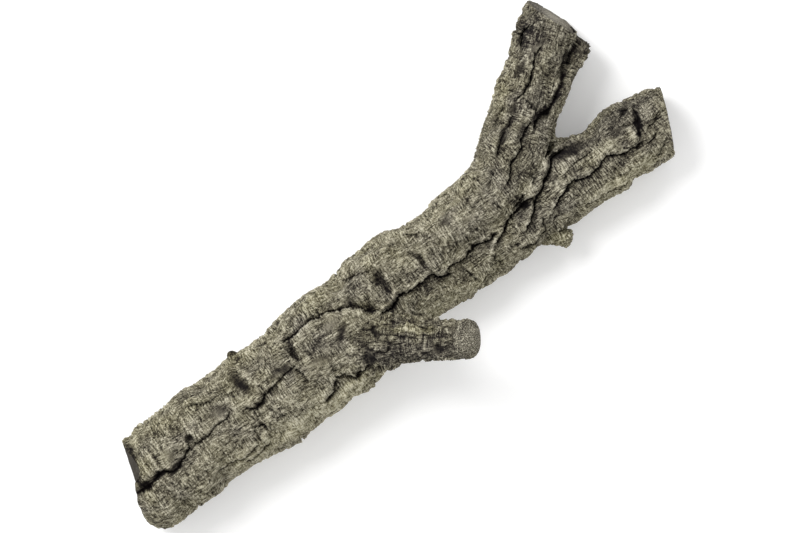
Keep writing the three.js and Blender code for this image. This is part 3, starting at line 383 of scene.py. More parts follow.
# Soft humps and hollows: centre, half length, half width, heading, height
HUMPS = [
    (-290, 14, 5, 12, -8, 1.5), (-266, 2, 9, 7, 10, 1.5), (-284, -6.5, 8, 4.5, 0, -3.5),
    (-297, -7, 8, 6, 0, -7), (-254, 14, 4, 12, -5, 1.0), (-228, 12, 10, 8, 0, 0.8),
    (-196, 12, 7, 9, 0, -2.5), (-169.5, 23, 8, 21, 8, -6), (-168, -6, 11, 5, 10, -4),
    (-160, 20, 5, 16, 8, 2), (-131, 8.5, 18, 5.5, 5, -3), (-141, 25, 18, 11, 0, 1.5),
    (-137, -14, 20, 16, 0, 2), (-105, 8, 5, 24, 5, 2), (-112, 17, 4, 12, 8, -3),
    (-78, 12, 26, 17, -12, 3), (-62, 4.5, 13, 4.5, 43, -2.5), (-66, -10, 22, 8, -20, 1.5),
    (-37, 23, 8, 6, -50, -3), (-40, 12, 12, 5, -40, 2.5), (-30, -2, 9, 3.5, -35, 2),
    (-104, -39, 9, 4, 0, -3.5), (-71, -36, 6, 6, 0, -4), (-97, -28, 9, 6, 20, 2),
    (-84, -26, 9, 6, -20, 1.5), (-82, -42, 30, 6, 0, 1.5), (-26, 36, 10, 9, -35, -3),
    (-26, 8, 6, 6, 0, -5), (-15, 24, 5, 16, 0, 2.5), (-3, 22, 6, 17, 0, -5), (20, 16, 20, 19, 0, 2),
    (40, 17, 4, 17, 0, -3), (-15, 50, 18, 4, -15, 1.5), (24, 52, 20, 6, -12, 1.5),
    (50, 40, 10, 5, -20, -1.5), (66, 22, 18, 14, 0, 1.2), (30, -12, 24, 9, 0, -1.5),
    (80, -9, 28, 6, 0, -2), (88, -27, 6, 4, 45, 2), (98, -15, 14, 3, 48, 3), (106, -6, 6, 3, 45, 2),
    (120, 40, 22, 6, 25, 1.5), (147, 12, 7, 5, 20, -4.5), (150, 2, 9, 5, 25, -1.5),
    (165, 14, 12, 5, 25, 2), (190, 30, 12, 6, 30, 1.5), (172, 58, 20, 6, 40, 2.5),
    (165, 66, 16, 4, 40, -2.5), (196, 84, 10, 6, 35, -2), (180, 84, 20, 6, 38, 2),
    (218, 92, 18, 5, 38, 2), (222, 113, 10, 5, 25, -2), (210, 108, 12, 6, 40, 1.5),
    (240, 103, 24, 6, 40, 1.8), (247, 142, 8, 5, 20, -5), (240, 128, 12, 5, 30, 1.5),
    (255, 150, 8, 6, 40, 2), (235, 60, 22, 5, 35, 1.5), (210, 24, 18, 8, -5, -4),
    (190, 6, 15, 4, 45, 1.5), (200, 11, 12, 3, 50, 1.5), (242, 6, 28, 5, 0, 2), (272, 2, 6, 10, -20, 4),
    (282, 4, 5, 13, -20, -5), (250, 24, 18, 8, 0, 1.5), (296, 10, 8, 10, 0, 2),
    (300, -14, 9, 6, -20, 1.5), (235, -22, 40, 8, 0, 1.5), (240, -36, 7, 4, 0, 1.5),
    (59, -38, 6, 4, 0, 1.5),
]
# The same on the side branch
SIDE_HUMPS = [
    (-35.5, -12, 5, 7, -20, -2.5), (-33, -6, 3.5, 3.5, 0, 2), (-48, -12, 6, 5, -40, 2.5),
    (-40, -24, 8, 4, -55, 2.5), (-50, -31, 5, 8, -35, -2), (-26, -27, 5, 5, 0, 2),
    (-29, -36, 5, 4, -40, 2), (-12, -38, 9, 5, -35, 2), (-18, -48, 9, 4, -35, 1.5),
    (-5, -48, 8, 5, -35, 1.5), (9, -62, 7, 5, -40, -2.5), (13, -50, 7, 4, -35, -2),
    (4, -32, 20, 3, -33, 1.5), (-10, -22, 10, 3, -35, 1.8), (-22, -10, 9, 4, -30, 1.5),
    (14, -40, 14, 3, -33, -1.2), (-62, -16, 6, 5, -30, 2), (-2, -64, 14, 4, -33, 1.2),
    (-1, -19, 28, 2.4, -42, 1.8), (-6, -24, 27, 1.5, -42, -1.6), (-10, -28, 26, 2.2, -42, 1.6),
    (-14, -33, 24, 1.5, -42, -1.5),
]
# Lighter, darker, warmer and cooler places: the bark's own stains, with painted shade in hollows, in cracks,
# on the butt's end face, on the lower strand below its crack and under the knob, and painted light on
# ridges, an end block and the lower flanks: centre, half length, half width, heading, light, warmth
STAINS_AND_SHADING = [
    (-292.5, 26, 17, 4, 72, -0.7, -0.3), (-299, 1, 7, 5, 60, -0.5, -0.3),
    (-109.5, 22, 3.5, 13, 5, -0.4, 0), (-313, -30, 15, 3.5, 85, -0.25, -0.3),
    (-307, -50, 12, 4, -40, -0.25, -0.3), (-297, -8, 7, 5, -20, -0.5, 0),
    (-284, -6, 10, 4.5, 3, -0.25, -0.6), (-268, -9, 9, 4, 0, -0.2, 0),
    (-158.5, 41, 6.5, 2.2, 0, -0.4, 0), (-158.5, 45.5, 7, 5, 0, -0.35, 0.5),
    (-62, 4.5, 14, 5, 43, -0.3, -0.4), (-68, 44, 3, 12, 0, 0.12, 0.2), (-105, 41, 3, 11, 0, 0.12, 0.1),
    (-91, 38, 11, 8, 0, -0.05, -0.7), (-56, 33, 6, 8, -30, -0.08, -0.4),
    (-291, 10, 10, 14, 70, 0.12, 1.0), (-300, -20, 9, 12, -10, 0.05, 0.7), (-266, 4, 7, 9, 0, 0.08, 0.3),
    (-275, 10, 3, 12, 0, -0.12, 0), (-240, 30, 40, 14, 0, -0.02, 0.3), (-230, 10, 16, 8, 0, -0.03, -0.3),
    (-194, 8, 10, 9, 0, -0.1, -0.4), (-200, 32, 12, 6, 0, -0.05, 0), (-168.5, 22, 6, 19, 5, -0.25, -0.3),
    (-166, -6, 10, 6, 0, -0.2, -0.3), (-130, 9, 20, 5, 5, -0.25, -0.3),
    (-140, 28, 24, 14, 0, -0.09, -0.1), (-113, -2, 5, 12, 0, -0.15, -0.4),
    (-150, -44, 105, 15, 0, 0.28, 0.6), (-80, -46, 40, 9, 0, 0.14, 1.0),
    (-78, 10, 30, 20, -10, -0.1, -0.3), (-40, 22, 8, 5, -45, -0.12, -0.3),
    (-52, -29, 9, 14, -33, -0.2, -1.0), (-27, 34, 12, 11, -35, -0.18, -0.2), (-26, 8, 7, 7, 0, -0.25, 0),
    (-3, 22, 7, 18, 0, -0.22, -0.2), (-15, 24, 4, 14, 0, 0.12, 0.1), (-10, -6, 6, 8, -50, -0.35, 0),
    (30, -7, 28, 8, 0, -0.2, -0.2), (80, -9, 30, 7, 0, -0.16, -0.4), (40, -30, 50, 8, 0, 0.18, 0.4),
    (20, 50, 60, 10, 0, 0.05, 0), (80, 48, 60, 10, 5, 0.06, 0.1), (60, 24, 60, 12, 0, 0.1, 0),
    (40, 18, 3.5, 16, 0, -0.15, 0), (98, -15, 17, 3, 48, 0.3, -0.2), (120, -22, 22, 8, 0, -0.04, -0.2),
    (147, 12, 7, 5, 20, -0.25, -0.5), (145, 0, 16, 7, 20, -0.18, -0.8), (175, 20, 20, 8, 25, 0, -0.5),
    (163, 44, 16, 14, 40, -0.09, 0.3), (175, 72, 16, 5, 40, -0.18, -0.7),
    (192, 64, 8, 5, 20, -0.1, -1.0), (200, 28, 9, 6, 30, -0.15, -1.0), (190, 95, 26, 10, 40, 0.02, 0.4),
    (222, 113, 11, 5, 20, -0.1, -0.3), (248, 140, 26, 17, 35, -0.4, -0.8),
    (192, 104, 18, 10, 40, 0.08, 0.7), (235, 108, 26, 8, 40, -0.02, -0.3), (215, 62, 12, 6, 25, 0, 0.3),
    (260, 86, 26, 7, 30, 0.08, 0.3), (206, 26, 15, 9, -5, -0.25, -0.7),
    (223, 24, 18, 9, -5, -0.25, -0.7), (214, 66.5, 9, 4, -4, -0.5, -0.4), (225, 67.5, 9, 4, 10, -0.5, 0),
    (235, 71.5, 8, 4, 30, -0.5, 0), (276, 133, 24, 4, -69, 0.35, -0.3), (243, 78, 9, 4, 42, -0.45, 0),
    (252, 87, 9, 4, 50, -0.5, 0), (261, 95, 9, 3, 40, -0.5, 0), (270, 100, 8, 3, 25, -0.5, 0),
    (278, 104, 6, 3, 35, -0.5, 0), (188, 2, 14, 2.2, 48, 0.16, 0), (195, 7, 15, 2.2, 48, 0.16, 0),
    (202, 12, 13, 2.2, 48, 0.12, 0), (191.5, 4.5, 14, 1.8, 48, -0.16, 0),
    (198.5, 9.5, 14, 1.8, 48, -0.16, 0), (275, 11, 4, 3, 0, 0.3, -0.3), (66, 31, 30, 4, 3, -0.06, 0),
    (78, 36, 8, 4, -10, -0.12, 0), (50, 43, 7, 3, -20, -0.3, 0), (275, 24, 45, 12, 0, -0.17, -1.0),
    (296, -8, 14, 18, -20, 0.06, 0.8), (280, 25, 9, 6, 0, -0.2, 0), (270, 2, 6, 11, -20, 0.12, 0.3),
    (281, 4, 4.5, 18, -30, -0.35, -0.4), (235, 4, 34, 8, 0, 0.12, 0.7), (235, -13, 60, 6, 0, -0.06, 0),
    (240, -30, 74, 10, 0, 0.29, 0.9), (194, 6, 16, 3, 47, 0.08, 0.2), (160, -42, 14, 10, -45, 0.06, 0.7),
    (170, -20, 20, 10, 0, 0.02, -0.1),
]
# The same on the side branch: its own stains, painted shade on its lower side and between its ridges, and
# painted light on the ridges
SIDE_STAINS_AND_SHADING = [
    (-20, -50, 50, 12, -33, -0.14, -0.7), (0, -34, 26, 5, -33, 0.2, 1.0),
    (-14, -24, 9, 4, -30, 0.2, 1.5), (9, -60, 9, 6, -40, -0.1, -0.3), (12, -50, 10, 4, -35, -0.14, -0.5),
    (-35.5, -12, 4, 7, -20, -0.08, -0.3), (-50, -28, 8, 11, -35, -0.12, -0.8),
    (-25, -15, 16, 8, -33, 0, 0), (34, -68, 22, 20, 0, 0.24, -0.6), (-30, -36, 12, 7, -33, -0.1, -0.3),
    (20, -86, 30, 4, -33, -0.15, -0.5), (-1, -19, 28, 2.4, -42, 0.04, 0.6),
    (-6, -24, 27, 1.5, -42, -0.3, 0), (-10, -28, 26, 2.2, -42, 0.05, 0.4),
    (-14, -33, 24, 1.5, -42, -0.25, 0),
]
CRACK_REACH = 22.0  # how far from a crack its step has faded out
LEDGE = 0.75
SWELL = 1.7
PLATE = 1.9
CRACK_DEPTH = 0.8
BUTT_LIGHT = -0.4  # the butt's sawn face is darker than the other ends by this, partly its own colour and partly painted shade
RIM_FADE = 20.0  # how far from an end its rim's shape has faded out
EDGE_SOFTNESS = 1.6  # how far along the branch a move to the outline is spread
KNOB = (-158.6, 45, 52)  # the small knob on the trunk's edge
KNOB_RADIUS = 5.6
KNOB_WAY = np.array([0, 0.94, 0.34])  # the way it points
KNOB_STRETCH = 1.45  # how much taller it is than half a ball

# The upright limb bends away from the trunk's heading here
BEND_START = 145.0
BEND_SIDE = 35.0
BEND_RADIUS = 110.0
BEND_TURN = math.radians(38)

# How closely the surfaces are worked out
CHUNK = 20000  # points at a time
FURTHEST = 130.0  # no surface is further than this from the middle of its limb
CAST_STEP = 4.0
CAST_HALVINGS = 9
COARSE_STEP = 4.0  # between the rings at which the surface is looked for
COARSE_SPOKES = 96  # around each of those rings
DENSE_BELOW = 0.12  # how far below its middle a ring's close spokes go, in half turns
SPARSE_BELOW = 2.2  # how much wider apart the spokes under them are
TINY = 1e-9

# Numbers that scramble the places of a lattice
LATTICE_FACTORS = (73856093, 19349663, 83492791)
SEED_FACTOR = 2654435761
MIX_FACTOR = 1274126177
HEIGHT_FACTOR = 40503
CELL_JITTER = 0.42  # how far a cell's middle is moved
OCTAVE = 2.03  # how much finer each layer of noise is than the one before
OCTAVE_SEEDS = 17

# How the marks of the upper side end
TRENCH_WALL = (0.1, 0.62)  # where a crack's wall begins and ends, in shares of its width
PIT_WALL = (0.4, 1)
LEDGE_RUN = 8  # how far beyond a crack's ends its step has faded out
CRACK_MARGIN = 9  # how far around its path a crack can reach
LINE_MARGIN = 4
PATCH_EDGE = 1.2  # where a patch has faded out, in shares of its size
HUMP_CORE = 0.15  # where a hump begins to fade
RIBBED_CORE = 0.5
WORN_CORE = 0.3
STAIN_CORE = 0.1
FACING = (0.05, 0.45)  # how far the bark has to face up before it shows the marks
STEEP = (0.05, 0.4)  # the same for its cracks

# Kinds of texture: size along the grain, size across it, and seed
BANDS = (3.8, 50, 18)
RIBS = (2.3, 20, 11)
RIB_CUTS = (5.5, 17, 13)
RIBBED_WIDELY = (21, 21, 9)
RIBBED_CLOSELY = (6, 6, 29)
WRINKLES = (18, 2.6, 12)
BROKEN = (10, 10, 14)
GRIT = (1.7, 1.7, 16)
COARSE_GRIT = (3.1, 3.1, 20)
CRUMBLE = (14, 14, 17)
FLAKES = (20, 8.5, 24)
FLAKING = (17, 17, 27)
PLATES = (34, 15, 8)
NETTED = (19, 19, 28)
UNEVEN_DEPTH = (7, 7, 26)
CHIPS = (9, 9, 51)
SAW_MARKS = (1.6, 9, 31)
SAW_WAVES = (7, 7, 32)
GRAINS = (1.8, 1.8, 33)
GRAIN_WAVES = (8, 8, 35)
WARM_WIDELY = (38, 38, 41)
WARM_CLOSELY = (13, 13, 42)
GRAIN_PITS = (2.6, 34)  # size and seed
LUMP_SIZE = (7, 5, 5)
LUMP_SEED = 15
NET_SEED = 25

# Random moves: size of their waves, first seed and reach
WOBBLES = ((5.5, 1, 2.4), (2.3, 3, 1.2))
PLATE_BEND = (13, 5, 0.45)
WARP = (11, 21, 3.5)

# Heights and depths of the bark
RIB_HEIGHT = 1.4
RIB_CUT = 1.2
RIB_LEAN = 0.28  # how far the ribs lean over on the right of the branch
WRINKLE_HEIGHT = 0.8
WRINKLE_CUT = 1.3
PLATE_HEIGHT = 1.8
PLATE_CRACK = 4.0
CREASE_DEPTH = 0.6
FLAKE_LAYERS = 3.2  # layers to one unit of noise
BUTT_BANDS = (-245, -205)  # where the butt's bands fade out
FLOOR_GAP = 0.15  # the bark is cut off at this height, before the rims are shaped
EDGE_SHIFT = (-12, 6)  # the most that an edge is moved in and out
RIM_CHIPS = 1.5
DOME_POWER = 2.4
CAP_EDGE = 0.08  # how far in from its rim an end has its full texture, in shares of its radius
NEAR_BY = 1.6  # what counts as the near surroundings of a point
FAR_OFF = 7

# What the material reads from each vertex: how deep it lies in a crack, painted there as shade, how deep the
# cracks around it are, painted as shade beside them, whether a layer ends there, painted as a shadow line at
# a flake's foot, how it lies in the ribs, painted as their own banding and as light and shade, how far it
# stands above its near and far surroundings, painted as light on raised bark and shade in hollows, how light
# the bark is, from its stains and from painted light and shade, how warm and worn it is, whether it is sawn,
# whether it is an end, how far from the middle of that end it is, and its place in the grain
VALUES = (
    "deep", "shade", "edge", "streak", "proud", "recess", "light", "warm", "worn", "sawn", "end", "ring",
    "along", "across", "around",
)
# How much each value adds to the tone: the relief, the cracks around, the flake edges and the ribs add
# painted light and shade, the ribs partly their own banding
TONE_GAINS = {
    "proud": 0.16, "recess": 0.06, "light": 0.9, "worn": -0.03, "shade": -0.03, "edge": -0.4,
    "streak": 0.065,
}
MIDDLE_TONE = 0.52
WORN_GRAIN = 0.35  # how much of the fine grain is left where the bark is worn
WAVER_SIZE = 13
WAVER_REACH = 3.0
CRACK_SHADE = (1.5, 9.0, 0, 0.7)  # depths between which a crack is painted darker as its shade, and how dark it is there
CRACK_SHADE_COLOUR = (40, 35, 36)
GROWTH_RINGS = 60.0  # waves of the growth rings from the middle to the rim, in radians
BUMP_MM = 1.6

# Colours from dark to light: place and colour
GREY_BARK = [
    (0, (26, 23, 23)), (0.25, (70, 66, 58)), (0.5, (108, 103, 91)), (0.75, (145, 140, 124)),
    (1, (190, 185, 167)),
]
WARM_BARK = [
    (0, (28, 24, 19)), (0.25, (75, 70, 54)), (0.5, (114, 109, 86)), (0.75, (150, 145, 120)),
    (1, (192, 187, 164)),
]
SAWN_WOOD = [(0, (64, 60, 54)), (0.35, (112, 107, 96)), (0.7, (146, 141, 128)), (1, (168, 163, 150))]

# How the bark of each piece differs
TOP_STYLE = {
    "marks": 1.0, "humps": HUMPS, "stains_and_shading": STAINS_AND_SHADING, "plates": 1.0, "lumps": 0.9, "flakes": 0.7,
    "block": (12, 7, 7), "netted": 0.0, "knobs": 0.3, "light": 0.0, "warm": 0.0,
}
LIMB_STYLE = TOP_STYLE | {"light": -0.07, "warm": -0.3}
SIDE_STYLE = TOP_STYLE | {
    "humps": SIDE_HUMPS, "stains_and_shading": SIDE_STAINS_AND_SHADING, "plates": 0.5, "lumps": 1.3, "flakes": 0.3,
    "block": (11, 8, 8), "netted": 1.0, "knobs": 2.0, "light": -0.2, "warm": -0.3,
}
TWIG_STYLE = TOP_STYLE | {"marks": 0.0, "plates": 0.2, "lumps": 1.4, "knobs": 1.0, "warm": 0.4}

# Light and floor: places and sizes in metres, power in watts
KEY_PLACE = (-0.5, 1.6, 2.2)
KEY_SIZE = 1.4
KEY_POWER = 52
SKY_STRENGTH = 0.85
FLOOR_REACH = 6.0
FLOOR_GREY = 0.93
FLOOR_GLOW = 0.15


def smoothstep(low, high, value):
    t = np.clip((value - low) / (high - low), 0, 1)
    return t * t * (3 - 2 * t)


def soft_min(a, b, k):
    h = np.maximum(k - np.abs(a - b), 0) / k
    return np.minimum(a, b) - h * h * k / 4


def catmull_rom(a, b, c, d, t):
    """A place between b and c on the smooth curve through all four."""
    bend = 2 * a - 5 * b + 4 * c - d
    twist = 3 * (b - c) + d - a
    return b + 0.5 * t * (c - a + t * (bend + t * twist))


def curve_rows(rows, places):
    """Rows of numbers at fractional places along them, on the smooth curve that joins them."""
    padded = np.concatenate([rows[:1], rows, rows[-1:]])
    i = np.minimum(places.astype(int), len(rows) - 2)
    return catmull_rom(padded[i], padded[i + 1], padded[i + 2], padded[i + 3], (places - i)[:, None])


def refine(rows):
    """The rows of a table with more of them between, on the smooth curve that joins them."""
    rows = np.array(rows, float)
    padded = np.concatenate([rows[:1], rows, rows[-1:]])
    spans = itertools.product(range(len(rows) - 1), range(SPAN_STEPS))
    fine = [catmull_rom(*padded[i : i + 4], k / SPAN_STEPS) for i, k in spans]
    return np.array([*fine, rows[-1]])


def limb_field(stations):
    """Makes a function that gives, roughly, the distance from a limb's surface: below 0 inside."""
    rows = refine(stations)
    start, end = rows[:-1], rows[1:]
    step = end[:, :3] - start[:, :3]
    length2 = (step**2).sum(axis=1)
    flat = np.hypot(step[:, 0], step[:, 1])

    def of_some(points):
        p = points[:, None, :]
        t = np.clip(((p - start[:, :3]) * step).sum(axis=2) / length2, 0, 1)
        away = p - start[:, :3] - t[:, :, None] * step
        nearest = (away**2).sum(axis=2).argmin(axis=1)
        here = np.arange(len(t))
        t, away = t[here, nearest], away[here, nearest]
        a, b, d = start[nearest], end[nearest], step[nearest]
        across, long = flat[nearest], np.sqrt(length2[nearest])
        wide = a[:, 3] + t * (b[:, 3] - a[:, 3])
        tall = a[:, 4] + t * (b[:, 4] - a[:, 4])
        level = away[:, 0] * d[:, 0] + away[:, 1] * d[:, 1]
        side = (away[:, 1] * d[:, 0] - away[:, 0] * d[:, 1]) / across
        ahead = (away * d).sum(axis=1) / long
        up = (away[:, 2] * across - d[:, 2] / across * level) / long
        norm = np.abs(side / wide) ** SQUARENESS + np.abs(up / tall) ** SQUARENESS
        norm = (norm + np.abs(ahead / tall) ** SQUARENESS) ** (1 / SQUARENESS)
        return (norm - 1) * np.minimum(wide, tall)

    def field(points):
        return np.concatenate([of_some(points[i : i + CHUNK]) for i in range(0, len(points), CHUNK)])

    return field


trunk_field = limb_field(TRUNK)
upper_strand_field = limb_field(UPPER_STRAND)
flap_field = limb_field(FLAP)
lower_field = limb_field(LOWER_STRAND)
side_field = limb_field(SIDE_BRANCH)
twig_field = limb_field(TWIG)


def strands(points):
    """The trunk with both limbs, and each of the two strands that the limbs are made from."""
    upper = soft_min(upper_strand_field(points), flap_field(points), FLAP_BLEND)
    lower = lower_field(points)
    whole = soft_min(soft_min(trunk_field(points), upper, BLEND), lower, BLEND)
    return whole, upper, lower


def whole_field(points):
    return strands(points)[0]


def upright_field(points):
    whole, upper, lower = strands(points)
    return np.maximum(whole, (upper - lower) / 2)


def long_field(points):
    whole, upper, lower = strands(points)
    return np.maximum(whole, (lower - upper) / 2)


def hash_gradients(ix, iy, iz, seed):
    """A pseudo-random direction for each point of a lattice."""
    fx, fy, fz = LATTICE_FACTORS
    n = (ix * fx) ^ (iy * fy) ^ (iz * fz) ^ (seed * SEED_FACTOR)
    n = (n ^ (n >> 13)) * MIX_FACTOR & 0x7FFFFFFF
    n = (n ^ (n >> 16)) & 0xFFFF
    angle = n * (2 * math.pi / 0x10000)
    height = ((n * HEIGHT_FACTOR) & 0xFFFF) / 0x8000 - 1
    flat = np.sqrt(np.maximum(0, 1 - height**2))
    return flat * np.cos(angle), flat * np.sin(angle), height


def noise(points, seed=0):
    """Gradient noise, about -0.7 to 0.7."""
    cell = np.floor(points).astype(np.int64)
    f = points - cell
    w = f * f * f * (f * (f * 6 - 15) + 10)
    total = np.zeros(len(points))
    for dx, dy, dz in itertools.product((0, 1), repeat=3):
        gx, gy, gz = hash_gradients(cell[:, 0] + dx, cell[:, 1] + dy, cell[:, 2] + dz, seed)
        dot = gx * (f[:, 0] - dx) + gy * (f[:, 1] - dy) + gz * (f[:, 2] - dz)
        wx = w[:, 0] if dx else 1 - w[:, 0]
        wy = w[:, 1] if dy else 1 - w[:, 1]
        wz = w[:, 2] if dz else 1 - w[:, 2]
        total += dot * wx * wy * wz
    return total


def texture(points, kind):
    """Noise with the sizes along and across the grain and the seed that a kind of texture has."""
    along, across, seed = kind
    return noise(points / (along, across, across), seed)


def layered(points, seed):
    """Three octaves of noise, about -1.1 to 1.1."""
    return sum(0.5**k * noise(points * OCTAVE**k, seed + OCTAVE_SEEDS * k) for k in range(3))


def random_move(points, size, seed, reach, ways=3):
    """A smooth random move of points: the size of its waves, and how far they reach."""
    return np.column_stack([noise(points / size, seed + way) for way in range(ways)]) * reach


def cells(points, seed):
    """For each point the distances to the nearest two of a jittered lattice, and a number of the nearest."""
    base = np.floor(points).astype(np.int64)
    best = np.full(len(points), np.inf)
    second = np.full(len(points), np.inf)
    name = np.zeros(len(points))
    for shift in itertools.product((-1, 0, 1), repeat=3):
        cell = base + shift
        gx, gy, gz = hash_gradients(cell[:, 0], cell[:, 1], cell[:, 2], seed)
        away = points - cell - 0.5 - CELL_JITTER * np.column_stack([gx, gy, gz])
        distance = np.sqrt((away**2).sum(axis=1))
        closer = distance < best
        second = np.where(closer, best, np.minimum(second, distance))
        name = np.where(closer, gx, name)
        best = np.where(closer, distance, best)
    return best, second, name


def as_seen(points):
    """Where the camera sees points on the plane that the marks are given on."""
    grow = CAMERA_MM / (CAMERA_MM + PLANE_Z - points[..., 2:3])
    return VIEW_CENTRE + (points[..., :2] - VIEW_CENTRE) * grow


def along_path(path, p):
    """The nearest place on a path: distance, side (1 on the left), overrun and width there."""
    path = np.array(path, float)
    best = np.full(len(p), np.inf)
    side, overrun, width = np.zeros(len(p)), np.zeros(len(p)), np.zeros(len(p))
    for a, b in zip(path[:-1], path[1:]):
        d = b[:2] - a[:2]
        length2 = (d**2).sum()
        t = np.clip(((p - a[:2]) * d).sum(axis=1) / length2, 0, 1)
        away = p - a[:2] - t[:, None] * d
        distance = np.hypot(away[:, 0], away[:, 1])
        closer = distance < best
        best = np.where(closer, distance, best)
        side = np.where(closer, np.where(d[0] * away[:, 1] - d[1] * away[:, 0] >= 0, 1, -1), side)
        overrun = np.where(closer, np.abs((away * d).sum(axis=1)) / math.sqrt(length2), overrun)
        if len(a) > 2:
            width = np.where(closer, a[2] + t * (b[2] - a[2]), width)
    return best, side, overrun, width


def near(path, p, reach):
    """Which points are in the box around a path."""
    path = np.array(path, float)[:, :2]
    low, high = path.min(axis=0) - reach, path.max(axis=0) + reach
    return np.flatnonzero(((p > low) & (p < high)).all(axis=1))


def trench(distance, width):
    """Depth across a crack, 1 at the bottom and 0 on the bark, with steep walls."""
    return 1 - smoothstep(*TRENCH_WALL, distance / width)


def ledges(p):
    """Steps of the bark at the cracks of the upper side."""
    height = np.zeros(len(p))
    for _, lift, path in CRACKS:
        i = near(path, p, CRACK_REACH)
        distance, side, overrun, _ = along_path(path, p[i])
        fade = np.maximum(0, 1 - distance / CRACK_REACH) ** 2 * np.maximum(0, 1 - overrun / LEDGE_RUN)
        height[i] += LEDGE * lift * side * fade
    return height


def grooves(p):
    """The cracks, thin lines and holes of the upper side: depth, 0 where there is none."""
    depth = np.zeros(len(p))
    for deep, _, path in CRACKS:
        i = near(path, p, CRACK_MARGIN)
        distance, _, _, width = along_path(path, p[i])
        widest = max(row[2] for row in path)
        cut = CRACK_DEPTH * deep * np.sqrt(width / widest) * trench(distance, width)
        depth[i] = np.maximum(depth[i], cut)
    for width, deep, path in LINES:
        i = near(path, p, LINE_MARGIN)
        distance, _, _, _ = along_path(path, p[i])
        depth[i] = np.maximum(depth[i], CRACK_DEPTH * deep * trench(distance, width))
    for x, y, radius, deep in PITS:
        distance = np.hypot(p[:, 0] - x, p[:, 1] - y)
        depth = np.maximum(depth, deep * (1 - smoothstep(*PIT_WALL, distance / radius)))
    return depth


def patch(p, x, y, long, wide, heading, core):
    """Which points lie in an ellipse, and how far in: 1 in its core, fading out past its edge."""
    i = near([(x, y)], p, PATCH_EDGE * max(long, wide))
    a = math.radians(heading)
    u = (p[i, 0] - x) * math.cos(a) + (p[i, 1] - y) * math.sin(a)
    v = (p[i, 1] - y) * math.cos(a) - (p[i, 0] - x) * math.sin(a)
    return i, 1 - smoothstep(core, PATCH_EDGE, np.hypot(u / long, v / wide))


def humps(p, table):
    height = np.zeros(len(p))
    for *shape, rise in table:
        i, here = patch(p, *shape, HUMP_CORE)
        height[i] += rise * here
    return height


def ribbed_places(p):
    """1 where the bark is strongly ribbed, 0 elsewhere."""
    share = np.zeros(len(p))
    for shape in RIBBED:
        i, here = patch(p, *shape, RIBBED_CORE)
        share[i] = np.maximum(share[i], here)
    return share


def worn(p):
    """How smooth the worn places are, 0 to 1, and how far they are sunk."""
    smooth, sink = np.zeros(len(p)), np.zeros(len(p))
    for *shape, deep in WORN:
        i, here = patch(p, *shape, WORN_CORE)
        smooth[i] = np.maximum(smooth[i], here)
        sink[i] = np.maximum(sink[i], deep * here)
    return smooth, sink


# Lighter, darker, warmer and cooler places: both the bark's own stains and painted light and shade
def stains_and_shading(p, table):
    light, warm = np.zeros(len(p)), np.zeros(len(p))
    for *shape, lighter, warmer in table:
        i, here = patch(p, *shape, STAIN_CORE)
        light[i] += lighter * here
        warm[i] += warmer * here
    return light, warm


def swells(p):
    """Slow waves of the bark, and the rise and fall of its plates."""
    x, y, z = p.T
    slow = np.sin(x / 13 + 2.1 * np.sin(y / 21 + z / 34)) * np.cos(y / 15 - z / 17 + x / 60)
    plate = np.sin(x / 9.5 + 1.9 * np.sin(y / 17 + z / 14)) * np.sin(y / 9 - z / 8.5 + 1.6 * np.sin(x / 26))
    return SWELL * slow + PLATE * np.tanh(3 * plate)


def straight_grain(points):
    """The bark's own coordinates on the trunk and the long limb: along, and two across."""
    return points.copy()


def bent_grain(points):
    """The same on the upright limb, whose grain follows its bend."""
    centre = np.array([BEND_START, BEND_SIDE + BEND_RADIUS])
    x, y = (points[:, :2] - centre).T
    angle = np.clip(np.arctan2(x, -y), 0, BEND_TURN)
    ahead = x * np.cos(angle) + y * np.sin(angle)
    beside = -x * np.sin(angle) + y * np.cos(angle)
    along = BEND_START + BEND_RADIUS * angle + ahead
    return np.column_stack([along, centre[1] + beside, points[:, 2]])


def side_grain(points):
    """The same on the side branch."""
    heading, rise = np.radians(SIDE_SECTIONS[1][3:])
    flat = math.cos(rise)
    forward = np.array([flat * math.cos(heading), flat * math.sin(heading), math.sin(rise)])
    across = np.array([-math.sin(heading), math.cos(heading), 0])
    ways = np.column_stack([forward, across, np.cross(forward, across)])
    return (points - SIDE_SECTIONS[0][:3]) @ ways


def flakes(q):
    """Thin layers of bark with ragged edges: the height in layers, and how near an edge is, where a shadow
    line is painted at the foot of each step.
    """
    along, across, seed = FLAKES
    level = FLAKE_LAYERS * layered(q / (along, across, across), seed)
    share = level - np.floor(level)
    edge = smoothstep(0.05, 0.2, share) * (1 - smoothstep(0.25, 0.5, share))
    return np.floor(level) + smoothstep(0.25, 0.5, share), edge


def upper_marks(points, normals, style):
    """The upper side as seen: depth of the marks, smoothness, drop, ribs, light and warmth, where the light
    holds stains and painted light and shade.
    """
    facing = smoothstep(*FACING, normals[:, 2]) * style["marks"]
    steep = smoothstep(*STEEP, normals[:, 2]) * style["marks"]
    wobble = sum(random_move(points, *kind, ways=2) for kind in WOBBLES)
    seen = as_seen(points)
    marks = grooves(seen + wobble) * steep * (0.85 + 0.5 * texture(points, UNEVEN_DEPTH))
    smooth, sink = worn(seen + wobble)
    drop = ledges(seen + 0.8 * wobble) + humps(seen + wobble, style["humps"]) - sink
    strong = ribbed_places(seen + 2 * wobble) * facing
    light, warm = stains_and_shading(seen + 1.5 * wobble, style["stains_and_shading"])
    return marks, smooth * facing, drop * facing, strong, light + style["light"], warm + style["warm"]


